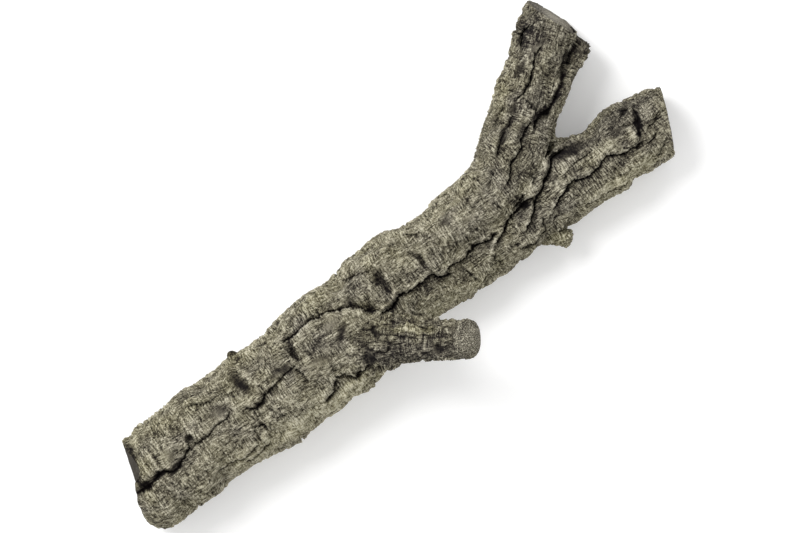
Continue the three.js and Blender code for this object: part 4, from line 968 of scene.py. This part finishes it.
def hidden_plates(q, normals, style):
    """Plates and cracks of the sides that aren't seen: how deep in a crack, and a plate's height."""
    hidden = (1 - 0.85 * smoothstep(-0.1, 0.5, normals[:, 2])) * style["plates"]
    along, across, seed = PLATES
    best, second, name = cells(q / (along, across, across) + random_move(q, *PLATE_BEND), seed)
    return (1 - smoothstep(0.02, 0.16, second - best)) * hidden, PLATE_HEIGHT * name * hidden


def netted_bark(q, warp, rough, style):
    """Small blocks of bark with creases between them: how deep in a crease, and how far a block swells."""
    best, second, _ = cells(warp / style["block"], NET_SEED)
    netted = np.maximum(smoothstep(-0.05, 0.25, texture(q, NETTED)), style["netted"]) * rough
    crease = (1 - smoothstep(0.03, 0.14, second - best)) * netted
    return crease, style["knobs"] * smoothstep(0, 0.6, second - best)


def bark(points, normals, grain, style):
    """Heights of the bark over the smooth form, and what its material needs to know."""
    q = grain(points)
    marks, smooth, drop, strong, light, warm = upper_marks(points, normals, style)
    crack, plates = hidden_plates(q, normals, style)
    rough = 1 - 0.85 * smooth
    warp = q + random_move(q, *WARP)
    crease, knobs = netted_bark(q, warp, rough, style)

    # layers that flake off, ribs across the grain and broad bands at the butt
    layer, edge = flakes(warp)
    flaking = smoothstep(-0.1, 0.3, texture(q, FLAKING))
    leaning = np.column_stack([warp[:, 0] + RIB_LEAN * np.minimum(q[:, 1], 0), warp[:, 1:]])
    butt = 1 - smoothstep(*BUTT_BANDS, points[:, 0])
    band = texture(leaning, BANDS)
    ribbed = smoothstep(-0.1, 0.15, texture(q, RIBBED_WIDELY) + 0.25 * texture(q, RIBBED_CLOSELY))
    ribbed = np.maximum(ribbed, strong)
    ribs = texture(leaning, RIBS) * (0.8 + 0.7 * strong)

    # wrinkles along the grain, short cuts and crumbs
    wrinkles = texture(warp, WRINKLES)
    wrinkle_cut = 1 - smoothstep(0.0, 0.1, np.abs(wrinkles))
    rib_cut = 1 - smoothstep(0.0, 0.12, np.abs(texture(warp, RIB_CUTS)))
    broken = smoothstep(0.0, 0.3, texture(q, BROKEN))
    lumps = layered(q / LUMP_SIZE, LUMP_SEED)
    grit = texture(points, GRIT) + 0.8 * texture(points, COARSE_GRIT)
    crumble = smoothstep(0, 0.3, texture(points, CRUMBLE))

    height = RIB_HEIGHT * ribs * ribbed + WRINKLE_HEIGHT * wrinkles + style["lumps"] * lumps
    height += (0.3 + 0.5 * crumble) * grit
    height -= WRINKLE_CUT * wrinkle_cut * broken + RIB_CUT * rib_cut * (1 - broken) * ribbed
    height += style["flakes"] * layer * (0.4 + 0.6 * flaking) + (0.4 + 1.6 * butt) * band
    height = swells(points) + plates - PLATE_CRACK * crack + rough * height + knobs - CREASE_DEPTH * crease
    # lighter where the ribs, wrinkles and bands rise and darker where they sink: partly their own banding,
    # partly painted light and shade
    streak = ribbed * np.tanh(4 * ribs) + 0.8 * (1 - ribbed) * np.tanh(4 * wrinkles)
    streak += (0.35 + 0.75 * butt) * np.tanh(4 * band)
    return height, drop, marks, {
        # painted shade: the deeper in a crack, crease or plate crack, the darker the material
        "deep": marks + 3.5 * crack + 2.6 * crease,
        # painted shadow line at the foot of each flake
        "edge": edge * rough * flaking * style["flakes"],
        "streak": streak * rough,
        "worn": smooth,
        "light": light,
        "warm": np.clip(warm + warmth(points, normals), -1, 1),
        "along": q[:, 0],
        "across": q[:, 1],
        "around": q[:, 2],
    }


def warmth(points, normals):
    """Where the bark is yellow-olive rather than grey, about -1 to 1."""
    value = 0.9 * texture(points, WARM_WIDELY) + 0.7 * texture(points, WARM_CLOSELY)
    return value + 0.35 * smoothstep(0.3, 0.95, np.abs(normals[:, 1]))


def frames_at(rows, shares):
    """Centre, normal and the two directions of a section, for each share of the way through."""
    place = shares * (len(rows) - 1)
    i = np.minimum(place.astype(int), len(rows) - 2)
    row = rows[i] + (place - i)[:, None] * (rows[i + 1] - rows[i])
    heading, rise = np.radians(row[:, 3]), np.radians(row[:, 4])
    normal = np.column_stack([np.cos(rise) * np.cos(heading), np.cos(rise) * np.sin(heading), np.sin(rise)])
    across = np.column_stack([-np.sin(heading), np.cos(heading), np.zeros(len(row))])
    return row[:, :3], normal, across, np.cross(normal, across)


def cast(field, centres, rays):
    """Distance to the surface along rays that start inside."""
    near_r = np.zeros(len(rays))
    far_r = np.full(len(rays), FURTHEST)
    open_rays = np.arange(len(rays))
    r = CAST_STEP
    while len(open_rays) and r < FURTHEST:
        outside = field(centres[open_rays] + r * rays[open_rays]) >= 0
        far_r[open_rays[outside]] = r
        near_r[open_rays[~outside]] = r
        open_rays = open_rays[~outside]
        r += CAST_STEP
    for _ in range(CAST_HALVINGS):
        middle = (near_r + far_r) / 2
        inside = field(centres + middle[:, None] * rays) < 0
        near_r = np.where(inside, middle, near_r)
        far_r = np.where(inside, far_r, middle)
    return (near_r + far_r) / 2


def spoke_rays(across, above, angles):
    """Directions around each section, at the angles given."""
    return across[:, None] * np.cos(angles)[:, None] + above[:, None] * np.sin(angles)[:, None]


def spoke_angles(top):
    """Angles around a ring: close at the top, the given number to a half turn, and wide apart below."""
    dense, sparse = 1 + 2 * DENSE_BELOW, 1 - 2 * DENSE_BELOW
    start, end = -DENSE_BELOW * math.pi, (1 + DENSE_BELOW) * math.pi
    upper = np.linspace(start, end, round(dense * top), endpoint=False)
    lower = np.linspace(end, start + 2 * math.pi, round(sparse * round(top / SPARSE_BELOW)), endpoint=False)
    return np.concatenate([upper, lower]) % (2 * math.pi)


def smooth_tube(sections, field, ring_step, spoke_step, rounding):
    """The smooth surface of a piece, as a grid of points: ring by ring, and around each ring."""
    rows = refine(sections)
    length = np.linalg.norm(np.diff(rows[:, :3], axis=0), axis=1).sum()
    coarse_rings = max(4, round(length / COARSE_STEP))
    angles = np.linspace(0, 2 * math.pi, COARSE_SPOKES, endpoint=False)
    centre, _, across, above = frames_at(rows, np.linspace(0, 1, coarse_rings + 1))
    starts = np.repeat(centre, COARSE_SPOKES, axis=0)
    radius = cast(field, starts, spoke_rays(across, above, angles).reshape(-1, 3))
    radius = radius.reshape(coarse_rings + 1, COARSE_SPOKES)

    shares = np.linspace(0, 1, round(length / ring_step) + 1)
    by_ring = curve_rows(radius, shares * coarse_rings)
    if rounding:
        inset = np.clip(1 - (1 - shares) * length / rounding, 0, 1)
        by_ring -= (rounding * (1 - np.sqrt(1 - inset**2)))[:, None]
    wrapped = np.concatenate([by_ring[:, -2:], by_ring, by_ring[:, :3]], axis=1)
    angles = spoke_angles(round(math.pi * radius.mean() / spoke_step))
    fine_radius = curve_rows(wrapped.T, angles / (2 * math.pi) * COARSE_SPOKES + 2).T
    centre, normal, across, above = frames_at(rows, shares)
    grid = centre[:, None] + fine_radius[:, :, None] * spoke_rays(across, above, angles)
    return grid, centre, normal, across


def grid_normals(grid):
    """Normals of a closed ring grid, pointing out."""
    along = np.gradient(grid, axis=0)
    around = (np.roll(grid, -1, axis=1) - np.roll(grid, 1, axis=1)) / 2
    normals = np.cross(around, along)
    return normals / np.maximum(np.linalg.norm(normals, axis=2, keepdims=True), TINY)


def blur(grid, reach):
    """A box blur of a grid of values, round in its second direction."""
    rows = np.arange(len(grid))
    down = sum(grid[np.clip(rows + shift, 0, len(grid) - 1)] for shift in range(-reach, reach + 1))
    across = sum(np.roll(down, shift, axis=1) for shift in range(-reach, reach + 1))
    return across / (2 * reach + 1) ** 2


def outline_reach(places, ways, edge):
    """How far an outline is from each place in the direction given there, or nan."""
    edge = np.array(edge, float)
    start, step = edge[:-1], np.diff(edge, axis=0)
    away = start - places[:, None]
    det = ways[:, None, 1] * step[:, 0] - ways[:, None, 0] * step[:, 1]
    det = np.where(np.abs(det) < TINY, TINY, det)
    reach = (away[..., 1] * step[:, 0] - away[..., 0] * step[:, 1]) / det
    share = (ways[:, None, 0] * away[..., 1] - ways[:, None, 1] * away[..., 0]) / det
    met = (share >= 0) & (share <= 1) & (reach > 0)
    reach = np.where(met, reach, np.inf).min(axis=1)
    return np.where(np.isfinite(reach), reach, np.nan)


def fit_edge(grid, centres, across, side, edge):
    """Moves one side of a piece, in plan, to the outline that it has as seen from above."""
    places, ways = as_seen(centres), side * across[:, :2]
    out = ((as_seen(grid) - places[:, None]) * ways[:, None]).sum(axis=2)
    current = out.max(axis=1)
    shift = np.clip(np.nan_to_num(outline_reach(places, ways, edge) - current), *EDGE_SHIFT)
    reach = max(1, round(EDGE_SOFTNESS / np.linalg.norm(centres[1] - centres[0])))
    shift = blur(np.repeat(shift[:, None], 3, axis=1), reach)[:, 0]
    share = smoothstep(0.3, 1, out / current[:, None])
    grid[..., :2] += (shift[:, None] * share)[..., None] * ways[:, None]


def knob_rise(points):
    """How far the knob on the trunk's edge lifts the bark."""
    away = points - KNOB
    ahead = away @ KNOB_WAY
    beside = np.linalg.norm(away - ahead[..., None] * KNOB_WAY, axis=-1)
    rise = KNOB_STRETCH * np.sqrt(np.maximum(KNOB_RADIUS**2 - beside**2, 0))
    return rise * (np.abs(ahead) < 3 * KNOB_RADIUS)


def quads(rings, spokes, first):
    """Faces between rings of points, the first of which has the number given."""
    i, j = np.meshgrid(np.arange(rings - 1), np.arange(spokes), indexing="ij")
    k = (j + 1) % spokes
    faces = np.stack([i * spokes + j, i * spokes + k, (i + 1) * spokes + k, (i + 1) * spokes + j], axis=-1)
    return faces.reshape(-1, 4) + first


def saw_marks(points):
    """Height of a sawn face."""
    return 0.35 * texture(points, SAW_MARKS) + 0.5 * texture(points, SAW_WAVES)


def granular(points):
    """Height of the crumbly end of the side branch and the twig."""
    size, seed = GRAIN_PITS
    pits = 1 - smoothstep(0.1, 0.4, cells(points / size, seed)[0])
    return 0.7 * texture(points, GRAINS) + 0.9 * texture(points, GRAIN_WAVES) - 0.7 * pits


class Mesh:
    """Vertices, faces and values of one piece as it grows."""

    def __init__(self):
        self.points, self.faces, self.values = [], [], {name: [] for name in VALUES}
        self.count = 0

    def add(self, points, faces, **values):
        """Adds points with their values, and sets of faces whose corners are numbered in the whole mesh."""
        self.points.append(points.reshape(-1, 3))
        self.faces.extend(faces)
        for name in VALUES:
            self.values[name].append(np.broadcast_to(values.get(name, 0.0), len(self.points[-1])))
        self.count += len(self.points[-1])

    def build(self, name, material):
        points = np.concatenate(self.points) * MM
        mesh = bpy.data.meshes.new(name)
        loops = np.concatenate([f.reshape(-1) for f in self.faces])
        sizes = np.concatenate([np.full(len(f), f.shape[1]) for f in self.faces])
        mesh.vertices.add(len(points))
        mesh.vertices.foreach_set("co", points.astype(np.float32).ravel())
        mesh.loops.add(len(loops))
        mesh.loops.foreach_set("vertex_index", loops.astype(np.int32))
        mesh.polygons.add(len(sizes))
        starts = np.concatenate([[0], sizes.cumsum()[:-1]])
        mesh.polygons.foreach_set("loop_start", starts.astype(np.int32))
        mesh.update(calc_edges=True)
        mesh.polygons.foreach_set("use_smooth", np.ones(len(sizes), bool))
        for key, parts in self.values.items():
            attribute = mesh.attributes.new(key, "FLOAT", "POINT")
            attribute.data.foreach_set("value", np.concatenate(parts).astype(np.float32))
        mesh.materials.append(material)
        piece = bpy.data.objects.new(name, mesh)
        bpy.context.scene.collection.objects.link(piece)
        return piece


def collar_rise(points, other):
    """How far the bark swells where a piece runs into another."""
    h = np.maximum(COLLAR_BLEND - np.abs(other(points)), 0) / COLLAR_BLEND
    return h * h * COLLAR_BLEND / 4


def surroundings(height, marks, ring_step):
    """How far points stand above their near and far surroundings, and how deep the cracks around are, which
    the material paints as light on raised bark and as shade in hollows and beside cracks.
    """
    near_by, far_off = max(1, round(NEAR_BY / ring_step)), max(3, round(FAR_OFF / ring_step))
    close = blur(height, near_by)
    return {
        "proud": (height - close).ravel(),
        "recess": (close - blur(close, far_off)).ravel(),
        "shade": blur(blur(marks, near_by), near_by).ravel(),
    }


def shape_rim(grid, smooth_rim, ring, rim, heading, ring_step):
    """Moves the end of a tube along its heading, so that the end isn't a flat cut."""
    rings = len(grid)
    from_end = np.abs(np.arange(rings) - (rings + ring) % rings) * ring_step
    fade = np.clip(1 - from_end / RIM_FADE, 0, 1)[:, None] ** 2
    places, reaches = np.array(rim, float).T
    beyond = np.interp(grid[ring, :, 1], places, reaches) + RIM_CHIPS * texture(smooth_rim, CHIPS)
    grid += (fade * beyond)[..., None] * heading


def bark_piece(mesh, sections, field, grain, style, steps, edges=(None, None), caps=(0, 0),
               rims=(None, None), dome=0, rounding=0, end_texture=saw_marks, sawn=1.0, collar=None,
               smooth_end=0):
    """Adds one limb's tube and ends to a mesh."""
    ring_step, spoke_step = steps
    grid, centres, headings, across = smooth_tube(sections, field, ring_step, spoke_step, rounding)
    rings, spokes = grid.shape[:2]
    normals = grid_normals(grid).reshape(-1, 3)
    points = grid.reshape(-1, 3)
    height, drop, marks, values = bark(points, normals, grain, style)
    if collar:
        height += collar_rise(points, collar)
    height *= 1 - 0.9 * smoothstep(0, 3, knob_rise(points))
    if smooth_end:
        from_end = ring_step * np.arange(rings)[::-1]
        fade = np.repeat(smoothstep(0, smooth_end, from_end), spokes)
        height, drop, marks = height * fade, drop * fade, marks * fade
        values["end"] = 1 - fade
    moved = points + normals * height[:, None]
    moved[:, 2] += drop - marks
    moved = moved.reshape(grid.shape)
    for side, edge in zip((1, -1), edges):
        if edge:
            fit_edge(moved, centres, across, side, edge)
    moved += knob_rise(moved)[..., None] * KNOB_WAY
    moved[..., 2] = np.maximum(moved[..., 2], FLOOR_GAP)
    for ring in (0, -1):
        moved[ring] -= ((moved[ring] - centres[ring]) @ headings[ring])[:, None] * headings[ring]
    for ring, rim in zip((0, -1), rims):
        if rim:
            shape_rim(moved, grid[ring], ring, rim, headings[ring], ring_step)
    shape = rings, spokes
    values |= surroundings((height + drop).reshape(shape), marks.reshape(shape), ring_step)
    first = mesh.count
    last = first + (rings - 1) * spokes
    mesh.add(moved, [quads(rings, spokes, first)], **values)
    # the butt's end face is painted darker, partly as shade
    butt_style = style | {"light": style["light"] + BUTT_LIGHT}
    add_end(mesh, moved[0][::-1], first + np.arange(spokes)[::-1], centres[0], -headings[0], caps[0], 0,
            saw_marks, sawn, grain, butt_style)
    add_end(mesh, moved[-1], last + np.arange(spokes), centres[-1], headings[-1], caps[1], dome, end_texture,
            sawn, grain, style)


def cap(rim, centre, normal, rings, dome, height_at):
    """Smaller and smaller rings that close an end, with the height of its dome and its texture."""
    loops = []
    for k in range(1, rings):
        share = 1 - k / rings
        loop = centre + (rim - centre) * share
        rise = dome * (1 - share**DOME_POWER) + height_at(loop) * smoothstep(0, CAP_EDGE, 1 - share)
        loops.append(loop + normal * rise[:, None])
    return np.array(loops)


def add_end(mesh, rim, rim_index, centre, normal, rings, dome, height_at, sawn, grain, style):
    """Closes one end of a tube: with a fan of faces, or with the given number of rings."""
    spokes = len(rim)
    j = np.arange(spokes)
    k = (j + 1) % spokes
    middle = rim.mean(axis=0)
    middle = middle - ((middle - centre) @ normal) * normal
    start = mesh.count
    if rings < 2:
        mesh.add(middle[None], [np.column_stack([rim_index[j], rim_index[k], np.full(spokes, start)])])
        return
    loops = cap(rim, middle, normal, rings, dome, height_at)
    ring = np.append(np.repeat(1 - np.arange(1, rings) / rings, spokes), 0)
    last = start + (rings - 2) * spokes
    crown = start + (rings - 1) * spokes
    band = np.column_stack([rim_index[j], rim_index[k], start + k, start + j])
    fan = np.column_stack([last + j, last + k, np.full(spokes, crown)])
    peak = middle + normal * (dome + height_at(middle[None])[0])
    points = np.concatenate([loops.reshape(-1, 3), peak[None]])
    q = grain(points)
    light, warm = stains_and_shading(as_seen(points), style["stains_and_shading"])
    # the ends' texture is painted lighter where it rises and darker where it sinks, as painted light and
    # shade
    mesh.add(points, [band, quads(rings - 1, spokes, start), fan], sawn=sawn, end=1.0, ring=ring,
             light=light + style["light"], warm=warm + style["warm"], proud=0.5 * height_at(points),
             along=q[:, 0], across=q[:, 1], around=q[:, 2])


def link(tree, *ends):
    for a, b in zip(ends[::2], ends[1::2]):
        tree.links.new(a, b)


def node(tree, kind, values=None, **settings):
    made = tree.nodes.new(kind)
    for key, value in settings.items():
        setattr(made, key, value)
    for key, value in (values or {}).items():
        made.inputs[key].default_value = value
    return made


def fill(tree, sockets):
    """Gives each socket its value: a number, a colour or another node's output."""
    for socket, value in sockets:
        if isinstance(value, tuple):
            socket.default_value = (*value, 1)
        elif isinstance(value, (int, float)):
            socket.default_value = value
        else:
            tree.links.new(value, socket)


def math_node(tree, operation, a, b):
    made = node(tree, "ShaderNodeMath", operation=operation)
    fill(tree, [(made.inputs[0], a), (made.inputs[1], b)])
    return made.outputs[0]


def total(tree, *parts):
    """The sum of a number of values, each given with its gain."""
    result = None
    for value, gain in parts:
        scaled = math_node(tree, "MULTIPLY", value, gain)
        result = scaled if result is None else math_node(tree, "ADD", result, scaled)
    return result


def attribute(tree, name):
    return node(tree, "ShaderNodeAttribute", attribute_name=name).outputs["Fac"]


def spread(tree, value, low, high, to_low=0.0, to_high=1.0):
    """A value mapped from one range to another."""
    ranges = {"From Min": low, "From Max": high, "To Min": to_low, "To Max": to_high}
    made = node(tree, "ShaderNodeMapRange", ranges)
    tree.links.new(value, made.inputs["Value"])
    return made.outputs["Result"]


def mixed(tree, share, a, b):
    made = node(tree, "ShaderNodeMix", data_type="RGBA", blend_type="MIX")
    fill(tree, [(made.inputs["Factor"], share), (made.inputs["A"], a), (made.inputs["B"], b)])
    return made.outputs["Result"]


def linear(red, green, blue):
    """A colour given as a screen shows it, 0 to 255, as light."""
    def channel(value):
        value /= 255
        return value / 12.92 if value <= 0.04045 else ((value + 0.055) / 1.055) ** 2.4
    return channel(red), channel(green), channel(blue)


def ramp(tree, value, stops):
    """A colour that runs through the stops given."""
    made = node(tree, "ShaderNodeValToRGB")
    elements = made.color_ramp.elements
    while len(elements) < len(stops):
        elements.new(0.5)
    for element, (place, colour) in zip(elements, stops):
        element.position = place
        element.color = (*linear(*colour), 1)
    tree.links.new(value, made.inputs["Fac"])
    return made.outputs["Color"]


def wavering_place(tree):
    """The place in the grain, in millimetres, moved a little from side to side so that the grain wavers."""
    place = node(tree, "ShaderNodeCombineXYZ")
    for socket, key in enumerate(("along", "across", "around")):
        link(tree, attribute(tree, key), place.inputs[socket])
    waver = node(tree, "ShaderNodeTexNoise", {"Scale": 1 / WAVER_SIZE, "Detail": 1.0})
    middle = node(tree, "ShaderNodeVectorMath", {1: (0.5, 0.5, 0.5)}, operation="SUBTRACT")
    wide = node(tree, "ShaderNodeVectorMath", {"Scale": WAVER_REACH}, operation="SCALE")
    moved = node(tree, "ShaderNodeVectorMath", operation="ADD")
    link(tree, place.outputs[0], waver.inputs["Vector"], waver.outputs["Color"], middle.inputs[0],
         middle.outputs[0], wide.inputs[0], wide.outputs[0], moved.inputs[1],
         place.outputs[0], moved.inputs[0])
    return moved.outputs[0]


def surface_noise(tree, place, along, across, detail, rough=0.6):
    """Noise with the given sizes along and across the grain, in millimetres, centred on 0."""
    size = node(tree, "ShaderNodeMapping")
    size.inputs["Scale"].default_value = (1 / along, 1 / across, 1 / across)
    link(tree, place, size.inputs["Vector"])
    made = node(tree, "ShaderNodeTexNoise", {"Scale": 1.0, "Detail": detail, "Roughness": rough})
    link(tree, size.outputs[0], made.inputs["Vector"])
    return math_node(tree, "SUBTRACT", made.outputs["Fac"], 0.5)


def fine_lines(tree, place):
    """Thin ribs across the grain in some places, and thin lines along it in the others."""
    ribs = surface_noise(tree, place, 1.3, 7, 2)
    lines = surface_noise(tree, place, 7, 1.3, 2)
    rib_share = spread(tree, surface_noise(tree, place, 24, 16, 1), -0.06, 0.06)
    line_share = math_node(tree, "SUBTRACT", 1.0, rib_share)
    return total(tree, (math_node(tree, "MULTIPLY", ribs, rib_share), 1.3), (ribs, 0.5),
                 (math_node(tree, "MULTIPLY", lines, line_share), 1.1), (lines, 0.45))


def sawn_wood(tree, grain, blotch):
    """The colour of sawn wood, with its growth rings."""
    turns = math_node(tree, "MULTIPLY", attribute(tree, "ring"), GROWTH_RINGS)
    rings = spread(tree, math_node(tree, "SINE", turns, 0.0), -1, 1)
    tone = total(tree, (rings, 0.5), (grain, 1.2), (blotch, 0.6), (attribute(tree, "light"), 1.2))
    return ramp(tree, tone, SAWN_WOOD)


def bark_material(name):
    """Dry cork bark: grey-brown, yellow-olive where it is warm, with painted shade near black in its cracks
    and painted light and shade on its relief.
    """
    material = bpy.data.materials.new(name)
    material.use_nodes = True
    tree = material.node_tree
    tree.nodes.clear()
    output = node(tree, "ShaderNodeOutputMaterial")
    shader = node(tree, "ShaderNodeBsdfPrincipled", {"Roughness": 0.95, "Specular IOR Level": 0.12})
    link(tree, shader.outputs[0], output.inputs[0])

    place = wavering_place(tree)
    end = attribute(tree, "end")
    lines = math_node(tree, "MULTIPLY", fine_lines(tree, place), math_node(tree, "SUBTRACT", 1.0, end))
    grain = surface_noise(tree, place, 1.1, 1.1, 2, 0.7)
    blotch = surface_noise(tree, place, 14, 14, 3)
    rough = spread(tree, attribute(tree, "worn"), 0, 1, 1.0, WORN_GRAIN)
    fine = math_node(tree, "MULTIPLY", total(tree, (lines, 1.2), (grain, 1.9)), rough)
    # The tone: fine grain and blotches, stains, and painted light and shade from the relief, the cracks
    # around, the flake edges and the ribs
    tone = total(tree, (fine, 1.0), (math_node(tree, "MULTIPLY", grain, end), 1.6), (blotch, 0.25),
                 *((attribute(tree, key), gain) for key, gain in TONE_GAINS.items()))
    tone = math_node(tree, "ADD", tone, MIDDLE_TONE)

    warm_share = spread(tree, total(tree, (attribute(tree, "warm"), 1.0), (blotch, 1.2)), -0.6, 1.0)
    base = mixed(tree, warm_share, ramp(tree, tone, GREY_BARK), ramp(tree, tone, WARM_BARK))
    # painted shade in the cracks: the deeper, the nearer to the crack colour
    crack_shade = spread(tree, attribute(tree, "deep"), *CRACK_SHADE)
    base = mixed(tree, crack_shade, base, linear(*CRACK_SHADE_COLOUR))
    inner = math_node(tree, "MULTIPLY", attribute(tree, "sawn"), end)
    base = mixed(tree, inner, base, sawn_wood(tree, grain, blotch))
    link(tree, base, shader.inputs["Base Color"])

    bump = node(tree, "ShaderNodeBump", {"Strength": 0.8, "Distance": BUMP_MM * MM})
    link(tree, total(tree, (lines, 0.5), (grain, 0.6)), bump.inputs["Height"])
    link(tree, bump.outputs[0], shader.inputs["Normal"])
    return material


def finish_piece(mesh, name):
    """Builds a piece, which rides on the one body and stands for the solid of that name."""
    piece = mesh.build(f"{name}_bark", bark_material(f"{name}_bark"))
    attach(piece, "root")
    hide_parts(name)


def build_trunk():
    mesh = Mesh()
    bark_piece(mesh, TRUNK_SECTIONS, whole_field, straight_grain, TOP_STYLE, (1.12, 1.08),
               edges=(TRUNK_LEFT_EDGE, TRUNK_RIGHT_EDGE), caps=(18, 0), rims=(BUTT_RIM, None),
               collar=side_field)
    finish_piece(mesh, "trunk")


def build_upright_limb():
    mesh = Mesh()
    bark_piece(mesh, UPRIGHT_SECTIONS, upright_field, bent_grain, LIMB_STYLE, (0.62, 0.62),
               edges=(UPRIGHT_LEFT_EDGE, UPRIGHT_RIGHT_EDGE), caps=(0, 40), rims=(None, UPRIGHT_RIM))
    finish_piece(mesh, "upright_limb")


def build_long_limb():
    mesh = Mesh()
    bark_piece(mesh, LONG_SECTIONS, long_field, straight_grain, LIMB_STYLE, (0.66, 0.66),
               edges=(LONG_LEFT_EDGE, LONG_RIGHT_EDGE), caps=(0, 16))
    bark_piece(mesh, TWIG_SECTIONS, twig_field, straight_grain, TWIG_STYLE, (0.7, 0.7), caps=(0, 10), dome=3,
               rounding=3, end_texture=granular, sawn=0.0)
    finish_piece(mesh, "long_limb")


def build_side_branch():
    mesh = Mesh()
    bark_piece(mesh, SIDE_SECTIONS, side_field, side_grain, SIDE_STYLE, (0.55, 0.55),
               edges=(SIDE_LEFT_EDGE, SIDE_RIGHT_EDGE), caps=(0, 34), dome=6, rounding=5,
               end_texture=granular, sawn=0.0, collar=whole_field, smooth_end=13)
    finish_piece(mesh, "side_branch")


def build_floor():
    mesh = bpy.data.meshes.new("floor")
    corners = [(x * FLOOR_REACH, y * FLOOR_REACH, 0) for x, y in ((-1, -1), (1, -1), (1, 1), (-1, 1))]
    mesh.from_pydata(corners, [], [(0, 1, 2, 3)])
    material = bpy.data.materials.new("floor")
    material.use_nodes = True
    shader = material.node_tree.nodes["Principled BSDF"]
    shader.inputs["Base Color"].default_value = (FLOOR_GREY, FLOOR_GREY, FLOOR_GREY, 1)
    shader.inputs["Roughness"].default_value = 0.9
    shader.inputs["Emission Color"].default_value = (1, 1, 1, 1)
    shader.inputs["Emission Strength"].default_value = FLOOR_GLOW
    mesh.materials.append(material)
    floor = bpy.data.objects.new("floor", mesh)
    bpy.context.scene.collection.objects.link(floor)


def build_camera():
    data = bpy.data.cameras.new("camera")
    data.sensor_width = SENSOR_MM
    data.lens = SENSOR_MM * CAMERA_MM / VIEW_WIDTH
    data.clip_end = 50
    camera = bpy.data.objects.new("camera", data)
    camera.location = (VIEW_CENTRE[0] * MM, VIEW_CENTRE[1] * MM, (CAMERA_MM + PLANE_Z) * MM)
    camera.rotation_euler = (0, 0, VIEW_TURN)
    bpy.context.scene.collection.objects.link(camera)
    bpy.context.scene.camera = camera


def build_key_light():
    """A broad soft lamp that shines on the origin."""
    data = bpy.data.lights.new("key", "AREA")
    data.shape = "DISK"
    data.size = KEY_SIZE
    data.energy = KEY_POWER
    lamp = bpy.data.objects.new("key", data)
    lamp.location = KEY_PLACE
    x, y, z = KEY_PLACE
    lamp.rotation_euler = (math.atan2(math.hypot(x, y), z), 0, math.atan2(-x, y) + math.pi)
    bpy.context.scene.collection.objects.link(lamp)


def build_studio():
    world = bpy.data.worlds.new("studio")
    world.use_nodes = True
    background = world.node_tree.nodes["Background"]
    background.inputs["Color"].default_value = (1, 1, 1, 1)
    background.inputs["Strength"].default_value = SKY_STRENGTH
    bpy.context.scene.world = world
    bpy.context.scene.view_settings.view_transform = "Standard"


build_camera()
build_studio()
build_key_light()
build_floor()
build_trunk()
build_upright_limb()
build_long_limb()
build_side_branch()
